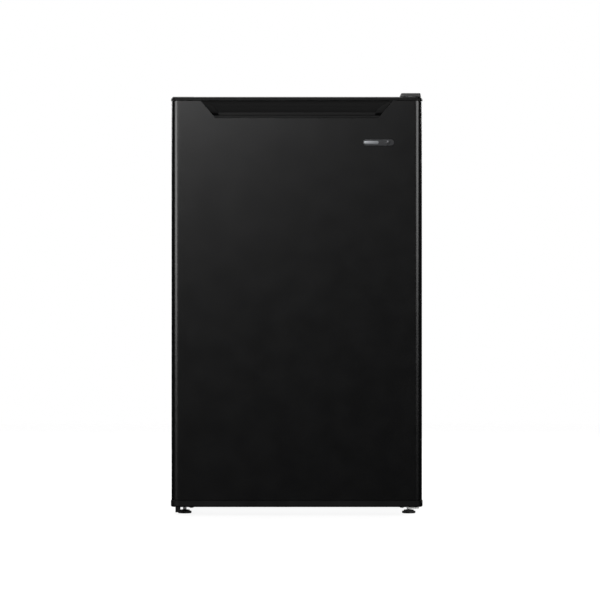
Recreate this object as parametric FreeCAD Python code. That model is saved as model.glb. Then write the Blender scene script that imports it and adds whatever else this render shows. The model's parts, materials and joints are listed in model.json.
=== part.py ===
import FreeCAD
import Part
import math
import os

# Compact refrigerator: a foamed steel cabinet with a plastic worktop, one full-height door hung on the
# right, a small freezer box, wire shelves, a crisper, door bins and a hermetic compressor at the back.
# Frame: millimetres, +X to the right seen from the front, +Y to the rear, +Z up, and the origin on the
# floor in the middle of the footprint. Every piece is written to parts/ under its own name.

V = FreeCAD.Vector
os.makedirs("parts", exist_ok=True)

# ---------------------------------------------------------------- driving sizes
body_width = 500.0          # over the steel sides and the door skin
overall_depth = 510.0       # door caps to the wall spacers
door_height = 817.0
door_lift = 17.5            # floor to the underside of the door

sheet = 0.8                 # pre-painted steel of cabinet and door
sheet_bend = 2.0            # outside radius of its folds
liner_t = 1.6               # vacuum-formed inner walls
side_wall = 38.0            # steel side to the liner's foam side
top_wall = 36.0
back_wall = 42.0
floor_wall = 45.0
hump_wall = 38.0            # insulation round the machine compartment
worktop_height = 20.0
worktop_rise = 4.0          # worktop's top above the door's top
underside_drop = 1.0        # cabinet's underside below the door's
rear_gap = 27.0             # back panel to the wall, room for the condenser
machine_depth = 158.0
machine_height = 198.5

door_thickness = 48.0       # cap's face to the plane that the gasket sits on
gasket_space = 8.0          # door's back plane to the cabinet's front frame
cap_proud = 1.25            # caps stand this far outside the door skin
door_edge_radius = 15.0
top_cap_height = 8.0
top_cap_round = 5.5
bottom_cap_height = 14.0
bottom_cap_round = 3.0
seam_height = 1.8           # shadow gap between each cap's face and the skin's edge
seam_depth = 2.5

hinge_inset = 18.0          # hinge axis from the steel side
hinge_setback = 24.0        # hinge axis from the caps' face
hinge_pin_radius = 3.5
running_gap = 0.08          # radial clearance of a shaft that turns
bush_radius = 6.0
bush_flange_radius = 8.0
plug_wall = 1.6             # plug in an unused hinge hole, hollow from inside
bracket_t = 3.0
bracket_width = 28.0
thread_gap = 0.05           # screw shank to its pilot hole

gasket_width = 16.0
gasket_inset = 20.0         # door's edge to the gasket's outer edge
gasket_relief = 0.3         # gasket to the cabinet's front frame

dyke_depth = 30.0           # ridge round the door's inner panel
dyke_side = 22.0
dyke_top = 12.0
dyke_bottom = 16.0
dyke_gap = 7.4              # ridge to the liner's walls

ledge_reach = 9.0           # shelf ledges stand this far out of the liner's walls
ledge_t = 4.0
shelf_gap = 1.5             # shelf's side to the liner's wall
bin_wall = 2.2
bin_reach = 89.0            # bin's inner face from the door's back plane
bin_lift = 25.0
bin_side_gap = 4.5          # bin's side to the ridge
low_bin_height = 108.0
small_bin_height = 62.0
front_gap = 10.0            # bins to the shelves with the door shut

leg_inset = 24.0            # levelling leg from the steel side
leg_setback = 27.0          # levelling leg from the cabinet's front frame
leg_radius = 4.0
leg_pad_radius = 13.5
leg_pad_height = 7.0
leg_length = 38.0

# ---------------------------------------------------------------- planes worked out from them
half_width = body_width / 2
front_y = -overall_depth / 2
rear_y = overall_depth / 2
skin_y = front_y + cap_proud
door_back_y = front_y + door_thickness
cab_front_y = door_back_y + gasket_space
cab_back_y = rear_y - rear_gap

door_bottom_z = door_lift
door_top_z = door_lift + door_height
cab_bottom_z = door_bottom_z - underside_drop
cab_top_z = door_top_z + worktop_rise
shell_top_z = cab_top_z - worktop_height

machine_front_y = cab_back_y - machine_depth
machine_top_z = cab_bottom_z + machine_height

liner_x = half_width - side_wall
liner_back_y = cab_back_y - back_wall
liner_floor_z = cab_bottom_z + floor_wall
liner_top_z = shell_top_z - top_wall
hump_y = machine_front_y - hump_wall
hump_z = machine_top_z + hump_wall
frame_lap = 4.0
frame_x = liner_x + frame_lap
frame_top_z = liner_top_z + frame_lap
frame_bottom_z = liner_floor_z - frame_lap

wall_x = liner_x - liner_t
wall_back_y = liner_back_y - liner_t
floor_z = liner_floor_z + liner_t
ceiling_z = liner_top_z - liner_t
hump_face_y = hump_y - liner_t
hump_top_z = hump_z + liner_t

hinge_x = half_width - hinge_inset
hinge_y = front_y + hinge_setback
recess_floor_z = cab_top_z - bracket_t
leg_x = half_width - leg_inset
leg_y = cab_front_y + leg_setback

dyke_x = wall_x - dyke_gap
dyke_y = door_back_y + dyke_depth
dyke_low_z = floor_z + dyke_gap
dyke_high_z = ceiling_z - 5.0
dyke_inner_x = dyke_x - dyke_side

bin_front_y = door_back_y + bin_reach
shelf_front_y = bin_front_y + front_gap
shelf_x = wall_x - shelf_gap
ledge_x = wall_x - ledge_reach


# ---------------------------------------------------------------- helpers
def block(x, y, z):
    """A box from three (low, high) pairs."""
    return Part.makeBox(x[1] - x[0], y[1] - y[0], z[1] - z[0], V(x[0], y[0], z[0]))


def rod(radius, start, end):
    """A cylinder from one point to another."""
    start, end = V(*start), V(*end)
    return Part.makeCylinder(radius, (end - start).Length, start, end - start)


def join(pieces):
    """The pieces fused into one solid, with the seams between flush faces taken out."""
    return pieces[0].multiFuse(pieces[1:]).removeSplitter()


def runs_along(edge, axis):
    """Is this a straight edge along the axis, X, Y or Z?"""
    if edge.Curve.TypeId != "Part::GeomLine":
        return False
    direction = edge.tangentAt(edge.FirstParameter)
    return abs(getattr(direction, axis.lower())) > 0.999


def rounded(shape, radius, axis, where=lambda middle: True):
    """The shape with its straight edges along the axis rounded, those whose middle point passes the test."""
    chosen = []
    for edge in shape.Edges:
        if runs_along(edge, axis) and where(edge.CenterOfMass):
            chosen.append(edge)
    return shape.makeFillet(radius, chosen)


def tray(x, y, z, wall, corner, floor=None):
    """An open-topped box with rounded upright corners."""
    outer = rounded(block(x, y, z), corner, "Z")
    inside = block(
        (x[0] + wall, x[1] - wall), (y[0] + wall, y[1] - wall), (z[0] + (floor or wall), z[1] + 1)
    )
    return outer.cut(rounded(inside, corner - wall, "Z"))


def spread(low, high, count):
    """Evenly spaced values from low to high."""
    return [low + (high - low) * n / (count - 1) for n in range(count)]


def bent_line(points, bend):
    """A wire of straight runs through the points, joined by tangent arcs of one radius."""
    points = [V(*p) for p in points]
    edges, start = [], points[0]
    for before, corner, after in zip(points, points[1:], points[2:]):
        back, ahead = (before - corner).normalize(), (after - corner).normalize()
        half = back.getAngle(ahead) / 2
        enter, leave = corner + back * (bend / math.tan(half)), corner + ahead * (bend / math.tan(half))
        middle = corner + (back + ahead).normalize() * (bend / math.sin(half) - bend)
        edges.append(Part.makeLine(start, enter))
        edges.append(Part.Arc(enter, middle, leave).toShape())
        start = leave
    edges.append(Part.makeLine(start, points[-1]))
    return Part.Wire(edges)


def pipe(points, radius, bend):
    """A round bar along a bent line."""
    spine = bent_line(points, bend)
    first, second = V(*points[0]), V(*points[1])
    ring = Part.Wire(Part.makeCircle(radius, first, second - first))
    return Part.Solid(spine.makePipeShell([ring], True, False))


def prism_x(outline, x):
    """A solid from an outline of (y, z) points, from one x to another."""
    points = [V(x[0], a, b) for a, b in outline]
    face = Part.Face(Part.makePolygon(points + points[:1]))
    return face.extrude(V(x[1] - x[0], 0, 0))


def screw(head, direction, length, shank_radius=2.4, head_radius=4.5, head_height=2.2):
    """A pan-head screw: head is the middle of the head's underside, and the shank runs along direction."""
    head, direction = V(*head), V(*direction)
    top = head - direction * head_height
    cap = Part.makeCylinder(head_radius, head_height, top, direction)
    cap = cap.makeFillet(1.0, [e for e in cap.Edges if (e.CenterOfMass - top).Length < 0.01])
    slot = Part.makeCylinder(1.5, head_height * 0.6, top, direction)
    return cap.fuse(Part.makeCylinder(shank_radius, length, head, direction)).cut(slot)


def pilot(head, direction, length, shank_radius=2.4):
    """The hole that a screw's shank goes into."""
    start = V(*head) - V(*direction)
    return Part.makeCylinder(shank_radius + thread_gap, length + 2, start, V(*direction))


def ring_on_door(outer_x, z, width, y):
    """A rectangular ring in a plane parallel to the door."""
    outer = block((-outer_x, outer_x), y, z)
    inner_z = (z[0] + width, z[1] - width)
    return outer.cut(block((-outer_x + width, outer_x - width), (y[0] - 1, y[1] + 1), inner_z))


made = {}

# ---------------------------------------------------------------- worktop and its hinge recesses
worktop_wall = 2.5
worktop_edge = 5.0
recess_width = 45.0
recess_depth = 75.0
recess_y = cab_front_y + recess_depth
recess_gap = 0.4            # filler to the recess's walls


def recess(side, z):
    """The space of a hinge recess at a front corner of the worktop."""
    inner, outer = half_width - recess_width, half_width + 1
    x = (inner, outer) if side > 0 else (-outer, -inner)
    return block(x, (cab_front_y - 1, recess_y), z)


def make_worktop():
    x, y = (-half_width, half_width), (cab_front_y, cab_back_y)
    top = rounded(block(x, y, (shell_top_z, cab_top_z)), worktop_edge, "Z")
    rim = [e for e in top.Edges if abs(e.CenterOfMass.z - cab_top_z) < 0.01]
    top = top.makeFillet(worktop_edge * 0.8, rim)
    hollow = block(
        (x[0] + worktop_wall, x[1] - worktop_wall),
        (y[0] + worktop_wall, y[1] - worktop_wall),
        (shell_top_z - 1, cab_top_z - worktop_wall),
    )
    for rib_x in spread(-half_width / 2, half_width / 2, 3):
        hollow = hollow.cut(block((rib_x - 1, rib_x + 1), y, (shell_top_z - 2, cab_top_z)))
    pad_x = half_width - recess_width - worktop_wall
    for side in (1, -1):
        x_pad = (pad_x, half_width) if side > 0 else (-half_width, -pad_x)
        hollow = hollow.cut(block(x_pad, (y[0], recess_y + worktop_wall), (shell_top_z - 2, cab_top_z)))
    top = top.cut(hollow)
    return top.cut(recess(1, (recess_floor_z, cab_top_z + 1))).cut(recess(-1, (recess_floor_z, cab_top_z + 1)))


def make_recess_filler():
    """The flush plate in the recess that the hinge would use if the door were hung on the left."""
    x = (-half_width, -(half_width - recess_width) - recess_gap)
    plate = block(x, (cab_front_y, recess_y - recess_gap), (recess_floor_z, cab_top_z))
    plate = rounded(plate, worktop_edge, "Z", lambda m: m.x < -half_width + 1 and m.y < cab_front_y + 1)
    return plate.makeChamfer(0.6, [e for e in plate.Edges if abs(e.CenterOfMass.z - cab_top_z) < 0.01])


# ---------------------------------------------------------------- hinges
top_screw_points = [(half_width - 28, cab_front_y + d, cab_top_z) for d in (16, 34, 52)]
cover_x = (half_width - 42.5, half_width - 2.5)
cover_y = (front_y + 4, recess_y - 2)
cover_top_z = cab_top_z + 4.0
cover_wall = 1.6
pin_depth = 20.0            # how far each hinge pin reaches into the door


def make_top_bracket():
    x = (hinge_x - bracket_width + 10, hinge_x + 10)
    y = (hinge_y - 11, recess_y - 6)
    plate = rounded(block(x, y, (recess_floor_z, cab_top_z)), 9.0, "Z")
    pin = rod(hinge_pin_radius, (hinge_x, hinge_y, cab_top_z), (hinge_x, hinge_y, door_top_z - pin_depth))
    plate = plate.fuse(pin)
    for point in top_screw_points:
        plate = plate.cut(rod(2.7, (point[0], point[1], recess_floor_z - 1), point))
    return plate


def make_top_cover():
    outer = rounded(block(cover_x, cover_y, (recess_floor_z, cover_top_z)), 6.0, "Z")
    outer = outer.makeFillet(2.5, [e for e in outer.Edges if abs(e.CenterOfMass.z - cover_top_z) < 0.01])
    inside_x = (cover_x[0] + cover_wall, cover_x[1] - cover_wall)
    inside_y = (cover_y[0] + cover_wall, cover_y[1] - cover_wall)
    inside = block(inside_x, inside_y, (recess_floor_z - 1, cover_top_z - cover_wall))
    return outer.cut(rounded(inside, 4.4, "Z"))


bottom_screw_points = []
for side in (1, -1):
    for x_off, y_off in ((-9.0, 60.0), (9.0, 60.0), (-14.0, 12.0)):
        bottom_screw_points.append((side * (leg_x + x_off), cab_front_y + y_off, cab_bottom_z - bracket_t))


def drilled_for_leg(plate, side):
    """The plate with the leg's hole and three screw holes."""
    plate = plate.cut(rod(leg_radius + 0.8, (side * leg_x, leg_y, -5), (side * leg_x, leg_y, cab_bottom_z + 5)))
    for x, y, z in bottom_screw_points:
        if x * side > 0:
            plate = plate.cut(rod(2.7, (x, y, z - 1), (x, y, z + bracket_t + 1)))
    return plate


def make_bottom_bracket():
    """Hinge plate screwed under the cabinet's right front corner, with an upright pin under the door."""
    low, high = cab_bottom_z - bracket_t, cab_bottom_z
    foot = block((leg_x - 20, half_width - 6), (cab_front_y + 2, cab_front_y + 74), (low, high))
    tongue = block((hinge_x - 12, half_width - 6), (hinge_y - 12, cab_front_y + 20), (low, high))
    plate = rounded(foot.fuse(tongue).removeSplitter(), 6.0, "Z")
    pin = rod(hinge_pin_radius, (hinge_x, hinge_y, low), (hinge_x, hinge_y, door_bottom_z + pin_depth))
    return drilled_for_leg(plate.fuse(pin), 1)


def make_left_bracket():
    """Plate under the left front corner, with a flange turned down beside the leg and a tab before it."""
    low, high = cab_bottom_z - bracket_t, cab_bottom_z
    side, front = -half_width + 6, cab_front_y + 2
    plate = block((side, -leg_x + 20), (front, cab_front_y + 74), (low, high))
    flange = block((side, side + bracket_t), (front, cab_front_y + 60), (low - 8, high))
    tab = block((side, side + 10), (front, front + bracket_t), (low - 10.5, high))
    return drilled_for_leg(rounded(plate.fuse(flange).fuse(tab).removeSplitter(), 4.0, "Z", lambda m: m.z > low and m.y > front + 9), -1)


# ---------------------------------------------------------------- cabinet sheet metal
def make_shell():
    """Side and top wrap, with a frame turned in round the front."""
    y = (cab_front_y, cab_back_y)
    outer = block((-half_width, half_width), y, (cab_bottom_z, shell_top_z))
    inner = block(
        (-half_width + sheet, half_width - sheet),
        (cab_front_y + sheet, cab_back_y + 1),
        (cab_bottom_z - 1, shell_top_z - sheet),
    )
    outer = rounded(outer, sheet_bend, "Z", lambda m: m.y < cab_front_y + 1)
    inner = rounded(inner, sheet_bend - sheet, "Z", lambda m: m.y < cab_front_y + 2)
    opening = block((-frame_x, frame_x), (cab_front_y - 1, cab_front_y + 5), (cab_bottom_z - 1, frame_top_z))
    shell = outer.cut(inner).cut(opening)
    return shell.cut(switch_hole())


back_screw_points = []
for x in spread(-half_width + 12, half_width - 12, 4):
    back_screw_points.append((x, cab_back_y, shell_top_z - 10))
    back_screw_points.append((x, cab_back_y, machine_top_z + 12))


def make_back_panel():
    panel = block(
        (-half_width + sheet, half_width - sheet),
        (cab_back_y - sheet, cab_back_y),
        (machine_top_z, shell_top_z - sheet),
    )
    for point in back_screw_points:
        panel = panel.cut(pilot(point, (0, -1, 0), 9.0, 1.9))
    return panel


pan_t = 1.0
nut_radius = 9.0
nut_top_z = cab_bottom_z + pan_t + 26.0
drain_x = 0.0
drain_y = cab_back_y - 30.0
drain_radius = 6.0
suction_x = half_width - 70.0
suction_y = cab_back_y - 22.0
suction_radius = 3.5


def make_base_pan():
    """Bottom panel: front frame, floor, riser in front of the compressor and deck above it."""
    x = (-half_width + sheet, half_width - sheet)
    low = (cab_bottom_z, cab_bottom_z + pan_t)
    riser_y = (machine_front_y, machine_front_y + pan_t)
    floor = block(x, (cab_front_y + sheet, machine_front_y + pan_t), low)
    pan = join([
        rounded(floor, sheet_bend - sheet, "Z", lambda m: m.y < cab_front_y + 2),
        block((-frame_x, frame_x), (cab_front_y, cab_front_y + sheet), (cab_bottom_z, frame_bottom_z)),
        block((-frame_x, frame_x), (cab_front_y, cab_front_y + 2), low),
        block(x, riser_y, (cab_bottom_z, machine_top_z)),
        block(x, (machine_front_y, cab_back_y), (machine_top_z - pan_t, machine_top_z)),
        rod(nut_radius, (leg_x, leg_y, low[0]), (leg_x, leg_y, nut_top_z)),
        rod(nut_radius, (-leg_x, leg_y, low[0]), (-leg_x, leg_y, nut_top_z)),
    ])
    for side in (1, -1):
        pan = pan.cut(rod(leg_radius + running_gap, (side * leg_x, leg_y, 0), (side * leg_x, leg_y, nut_top_z + 1)))
    for point in bottom_screw_points:
        pan = pan.cut(pilot(point, (0, 0, 1), 12.0))
    deck_z = (machine_top_z - pan_t - 1, machine_top_z + 1)
    pan = pan.cut(rod(drain_radius + 0.5, (drain_x, drain_y, deck_z[0]), (drain_x, drain_y, deck_z[1])))
    return pan.cut(rod(suction_radius + 0.5, (suction_x, suction_y, deck_z[0]), (suction_x, suction_y, deck_z[1])))


# ---------------------------------------------------------------- inner liner and foam
liner_corner = 10.0


def cabinet_cavity(inset):
    """The compartment's form, stepped over the machine compartment, moved in by inset from the liner's foam side."""
    x = (-liner_x + inset, liner_x - inset)
    y = (cab_front_y, liner_back_y - inset)
    z = (liner_floor_z + inset, liner_top_z - inset)
    corner = liner_corner - inset
    hump = block((-half_width, half_width), (hump_y - inset, cab_back_y), (cab_bottom_z, hump_z + inset))
    stepped = rounded(block(x, y, z).cut(hump), corner, "X", lambda m: m.y > cab_front_y + 1)
    across = rounded(block(x, y, z), corner, "Y")
    upright = rounded(block(x, y, z), corner, "Z", lambda m: m.y > cab_front_y + 1)
    return stepped.common(across).common(upright)


shelf_rod = 2.5
lid_low_z = hump_top_z + 3.0
lid_t = 4.0
lid_top_z = lid_low_z + lid_t

evaporator_drop = 11.0      # evaporator's top below the liner's ceiling
evaporator_height = 106.0
evaporator_x = wall_x - 29.0
evaporator_top_z = ceiling_z - evaporator_drop
evaporator_low_z = evaporator_top_z - evaporator_height
evaporator_front_y = shelf_front_y + 26.0
evaporator_back_y = wall_back_y - 16.0
drip_gap = 6.0
drip_height = 17.0
drip_top_z = evaporator_low_z - drip_gap
drip_low_z = drip_top_z - drip_height
drip_flange = 2.0

shelf_pitch = (drip_low_z - lid_top_z) / 3
lower_shelf_z = lid_top_z + shelf_pitch
upper_shelf_z = lid_top_z + 2 * shelf_pitch


def ledges(under_z, over_z=None):
    """A pair of rails on each side wall: one below what slides there and, if wanted, one that stops it tipping."""
    y = (cab_front_y + 26, wall_back_y - liner_corner)
    found = []
    for side in (1, -1):
        x = (ledge_x, wall_x + 0.8) if side > 0 else (-wall_x - 0.8, -ledge_x)
        levels = [(under_z - ledge_t, under_z)]
        if over_z:
            levels.append((over_z, over_z + ledge_t))
        for z in levels:
            rail = block(x, y, z)
            rail = rounded(rail, 1.5, "Y", lambda m, s=side: m.x * s < ledge_x + 1)
            found.append(rail)
    return found


slide_gap = 0.2             # what slides stands this far above its ledge
switch_x = 150.0
switch_z = frame_top_z + 7.0
switch_size = (10.0, 11.0, 30.0)
plunger_radius = 3.0


def switch_hole():
    """The hole in the front frame that the light switch's collar fills."""
    return rod(4.2, (switch_x, cab_front_y - 1, switch_z), (switch_x, cab_front_y + 3, switch_z))


def make_liner():
    shelf_levels = [lower_shelf_z, upper_shelf_z]
    rails = []
    for z in shelf_levels:
        rails += ledges(z - shelf_rod - slide_gap, z + shelf_rod + 2.0)
    rails += ledges(lid_low_z - slide_gap)
    rails += ledges(drip_top_z - drip_flange - slide_gap)
    lip = block((-frame_x, frame_x), (cab_front_y, cab_front_y + liner_t), (frame_bottom_z, frame_top_z))
    liner = cabinet_cavity(0).fuse(lip).cut(cabinet_cavity(liner_t))
    liner = liner.multiFuse(rails).removeSplitter()
    back = (wall_back_y - 5, liner_back_y + 5)
    liner = liner.cut(rod(suction_radius + 0.5, (suction_x, back[0], suction_z), (suction_x, back[1], suction_z)))
    drain_z = hump_top_z + 8.0
    return liner.cut(rod(drain_radius + 0.5, (drain_x, back[0], drain_z), (drain_x, back[1], drain_z)))


suction_z = evaporator_low_z + 40.0


def make_foam():
    """Polyurethane between the steel and the liner, cut round everything that is set in it."""
    x = (-half_width + sheet, half_width - sheet)
    y = (cab_front_y + sheet, cab_back_y - sheet)
    foam = block(x, y, (cab_bottom_z + pan_t, shell_top_z - sheet))
    foam = rounded(foam, sheet_bend - sheet, "Z", lambda m: m.y < cab_front_y + 2)
    machine = block(x, (machine_front_y, cab_back_y), (cab_bottom_z, machine_top_z))
    lip = block((-frame_x, frame_x), (cab_front_y, cab_front_y + liner_t), (frame_bottom_z, frame_top_z))
    foam = foam.cut(machine).cut(cabinet_cavity(0)).cut(lip)
    for side in (1, -1):
        foam = foam.cut(rod(nut_radius, (side * leg_x, leg_y, 0), (side * leg_x, leg_y, nut_top_z)))
        foam = foam.cut(rod(leg_radius + 1, (side * leg_x, leg_y, 0), (side * leg_x, leg_y, nut_top_z + 16)))
    for point in bottom_screw_points:
        foam = foam.cut(pilot(point, (0, 0, 1), 13.0))
    for point in back_screw_points:
        foam = foam.cut(pilot(point, (0, -1, 0), 10.0, 1.9))
    switch_bore = rod(plunger_radius + 1, (switch_x, cab_front_y, switch_z), (switch_x, cab_front_y + 22, switch_z))
    return foam.cut(made["light_switch"]).cut(switch_bore).cut(made["drain_tube"]).cut(suction_line())


# ---------------------------------------------------------------- refrigerant circuit
compressor_x = 88.0
compressor_y = machine_front_y + 84.0
compressor_radius = 66.0
compressor_low_z = cab_bottom_z + 20.0
compressor_top_z = cab_bottom_z + 150.0
seam_z = compressor_low_z + 78.0
mount_x = 84.0              # rubber mounts from the compressor's middle
mount_y = 46.0
plate_t = 2.0
plate_y = (machine_front_y + 22.0, cab_back_y)
gland_x = -138.0
gland_z = cab_bottom_z + 21.0
gland_bore = 4.0
gland_radius = 8.0
mount_points = [(compressor_x + sx * mount_x, compressor_y + sy * mount_y) for sx in (1, -1) for sy in (1, -1)]
foot_points = [(half_width - 35.0, cab_back_y - 33.0), (-half_width + 35.0, cab_back_y - 33.0)]


def make_compressor_plate():
    """Galvanised cross-plate between the sides, with its rear edge turned up for the cord's gland."""
    x = (-half_width + sheet, half_width - sheet)
    low = cab_bottom_z
    plate = join([
        block(x, plate_y, (low, low + plate_t)),
        block(x, (plate_y[0], plate_y[0] + plate_t), (low, low + 12)),
        block(x, (plate_y[1] - plate_t, plate_y[1]), (low, low + 38)),
    ])
    for mx, my in mount_points:
        plate = plate.cut(rod(5.5, (mx, my, low - 1), (mx, my, low + plate_t + 1)))
    for fx, fy in foot_points:
        plate = plate.cut(rod(5.0, (fx, fy, low - 1), (fx, fy, low + plate_t + 1)))
    return plate.cut(rod(gland_radius - 1.5, (gland_x, plate_y[1] - 5, gland_z), (gland_x, plate_y[1] + 5, gland_z)))


def make_gland():
    """Bush that the mains cord comes out through, snapped in the plate's rear edge."""
    inner, outer = plate_y[1] - plate_t, plate_y[1]
    body = join([
        rod(gland_radius, (gland_x, outer, gland_z), (gland_x, outer + 4, gland_z)),
        rod(gland_radius - 1.5, (gland_x, inner, gland_z), (gland_x, outer, gland_z)),
        rod(gland_radius, (gland_x, inner - 8, gland_z), (gland_x, inner, gland_z)),
    ])
    return body.cut(rod(gland_bore, (gland_x, inner - 9, gland_z), (gland_x, outer + 5, gland_z)))


def make_rear_feet():
    feet = []
    for fx, fy in foot_points:
        foot = rod(12.0, (fx, fy, 0), (fx, fy, cab_bottom_z))
        foot = foot.makeChamfer(1.5, [e for e in foot.Edges if abs(e.CenterOfMass.z) < 0.01])
        feet.append(foot.fuse(rod(4.9, (fx, fy, cab_bottom_z), (fx, fy, cab_bottom_z + plate_t + 3))))
    return Part.Compound(feet)


def dome(grow):
    """The compressor's pressed shell, grown by an amount."""
    radius = compressor_radius + grow
    low, high = compressor_low_z - grow, compressor_top_z + grow
    body = rod(radius, (compressor_x, compressor_y, low), (compressor_x, compressor_y, high))
    top = [e for e in body.Edges if abs(e.CenterOfMass.z - high) < 0.01]
    bottom = [e for e in body.Edges if abs(e.CenterOfMass.z - low) < 0.01]
    return body.makeFillet(34.0 + grow, top).makeFillet(24.0 + grow, bottom)


mount_plate_z = cab_bottom_z + 17.0


def make_compressor_shell():
    """Two steel pressings welded at a seam, on a foot plate."""
    wall = 3.0
    seam = rod(compressor_radius + 4, (compressor_x, compressor_y, seam_z - 3), (compressor_x, compressor_y, seam_z + 3))
    x = (compressor_x - mount_x - 14, compressor_x + mount_x + 14)
    y = (compressor_y - mount_y - 14, compressor_y + mount_y + 14)
    plate = rounded(block(x, y, (mount_plate_z, mount_plate_z + 3.5)), 12.0, "Z")
    shell = join([dome(0), seam, plate]).cut(dome(-wall))
    for mx, my in mount_points:
        shell = shell.cut(rod(7.0, (mx, my, mount_plate_z - 1), (mx, my, mount_plate_z + 5)))
    return shell


def make_compressor_pump():
    """Motor and cylinder block inside the shell, as one mass on its springs."""
    low, high = compressor_low_z + 22, compressor_top_z - 30
    motor = rod(44.0, (compressor_x, compressor_y, low), (compressor_x, compressor_y, low + 40))
    head = block(
        (compressor_x - 40, compressor_x + 34), (compressor_y - 24, compressor_y + 24), (low + 40, high)
    )
    return motor.fuse(rounded(head, 8.0, "Z"))


def make_grommets():
    """Rubber mounts between the foot plate and the cross-plate."""
    found = []
    for mx, my in mount_points:
        low, high = cab_bottom_z + plate_t, mount_plate_z
        body = rod(11.0, (mx, my, low), (mx, my, high)).fuse(rod(6.9, (mx, my, high), (mx, my, high + 5)))
        found.append(body.cut(rod(4.2, (mx, my, low - 1), (mx, my, high + 6))))
    return Part.Compound(found)


def make_mount_bolts():
    found = []
    for mx, my in mount_points:
        low, high = cab_bottom_z - 1, mount_plate_z + 5
        head = rod(9.0, (mx, my, high), (mx, my, high + 2)).fuse(rod(6.0, (mx, my, high + 2), (mx, my, high + 7)))
        found.append(head.fuse(rod(4.0, (mx, my, low), (mx, my, high))))
    return Part.Compound(found)


terminal_x = compressor_x - compressor_radius


def make_terminal_cover():
    """Cap over the start relay on the compressor's side."""
    y = (compressor_y - 27, compressor_y + 27)
    z = (seam_z - 52, seam_z - 6)
    cover = block((terminal_x - 26, terminal_x + 14), y, z)
    cover = rounded(cover, 5.0, "X", lambda m: True)
    cover = cover.makeFillet(3.0, [e for e in cover.Edges if abs(e.CenterOfMass.x - terminal_x + 26) < 0.01])
    return cover.cut(dome(0.3))


condenser_y = cab_back_y + 14.0
condenser_radius = 2.5
wire_radius = 0.8
condenser_x = half_width - 46.0
condenser_pitch = 44.0
condenser_low_z = machine_top_z + 36.0
condenser_passes = int((shell_top_z - 24.0 - condenser_low_z) / condenser_pitch) + 1
condenser_passes -= condenser_passes % 2
condenser_high_z = condenser_low_z + (condenser_passes - 1) * condenser_pitch


def make_condenser_tube():
    """Serpentine from the discharge pipe at the top right (seen from behind: left) to the drier below."""
    edges = []
    side = -1
    for n in range(condenser_passes):
        z = condenser_low_z + n * condenser_pitch
        ends = (V(side * condenser_x, condenser_y, z), V(-side * condenser_x, condenser_y, z))
        edges.append(Part.makeLine(*ends))
        if n < condenser_passes - 1:
            above = ends[1] + V(0, 0, condenser_pitch)
            middle = ends[1] + V(-side * condenser_pitch / 2, 0, condenser_pitch / 2)
            edges.append(Part.Arc(ends[1], middle, above).toShape())
        side = -side
    spine = Part.Wire(edges)
    ring = Part.Wire(Part.makeCircle(condenser_radius, V(-condenser_x, condenser_y, condenser_low_z), V(1, 0, 0)))
    return Part.Solid(spine.makePipeShell([ring], True, False))


def make_condenser_wires():
    """Upright wires spot-welded to both faces of the serpentine."""
    found = []
    offset = condenser_radius + wire_radius
    count = int(2 * (condenser_x - 6) / 13.0)
    for x in spread(-condenser_x + 6, condenser_x - 6, count):
        for y in (condenser_y - offset, condenser_y + offset):
            found.append(rod(wire_radius, (x, y, condenser_low_z - 14), (x, y, condenser_high_z + 14)))
    return Part.Compound(found)


def make_condenser_brackets():
    """Four plastic arms that hold the condenser off the back panel and keep the cabinet off the wall."""
    found = []
    levels = (condenser_low_z + condenser_pitch / 2, condenser_high_z - condenser_pitch / 2)
    for side in (1, -1):
        for z in levels:
            x = sorted((side * (half_width - 14), side * (half_width - 4)))
            arm = block(x, (cab_back_y, rear_y), (z - 16, z + 16))
            arm = rounded(arm, 6.0, "X", lambda m: m.y > rear_y - 1)
            hook_x = sorted((side * (condenser_x + 8), side * (half_width - 14)))
            hook = block(hook_x, (condenser_y + condenser_radius + 3, condenser_y + condenser_radius + 7), (z - 9, z + 9))
            found.append(join([arm, hook]))
    return Part.Compound(found)


def suction_line():
    """Return pipe from the evaporator, down inside the rear foam and into the compressor."""
    return pipe(
        [
            (suction_x, evaporator_back_y + 2, suction_z),
            (suction_x, suction_y, suction_z),
            (suction_x, suction_y, machine_top_z - 26),
            (compressor_x + 34, suction_y, machine_top_z - 26),
            (compressor_x + 34, compressor_y + 30, machine_top_z - 26),
            (compressor_x + 34, compressor_y + 30, compressor_top_z - 12),
        ],
        suction_radius,
        10.0,
    ).cut(dome(0))


def discharge_line():
    """Hot pipe from the compressor up to the condenser's top pass."""
    riser_x = condenser_x + condenser_pitch / 2 + 6
    return pipe(
        [
            (compressor_x - 10, compressor_y + 55, compressor_low_z + 56),
            (compressor_x - 10, cab_back_y + 12, compressor_low_z + 56),
            (riser_x, cab_back_y + 12, compressor_low_z + 56),
            (riser_x, condenser_y, condenser_low_z - 24),
            (riser_x, condenser_y, condenser_high_z + 26),
            (-condenser_x - 20, condenser_y, condenser_high_z + 26),
            (-condenser_x - 20, condenser_y, condenser_high_z),
            (-condenser_x, condenser_y, condenser_high_z),
        ],
        condenser_radius,
        8.0,
    ).cut(dome(0))


drier_x = -half_width + 62.0
drier_y = cab_back_y - 52.0
drier_low_z = cab_bottom_z + 62.0
drier_length = 90.0


def liquid_line():
    """Warm pipe from the condenser's lowest pass down to the drier."""
    return pipe(
        [
            (-condenser_x, condenser_y, condenser_low_z),
            (-condenser_x - 18, condenser_y, condenser_low_z),
            (-condenser_x - 18, condenser_y, machine_top_z - 22),
            (-condenser_x - 18, drier_y, machine_top_z - 22),
            (drier_x, drier_y, machine_top_z - 22),
            (drier_x, drier_y, drier_low_z + drier_length),
        ],
        condenser_radius,
        8.0,
    )


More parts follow.
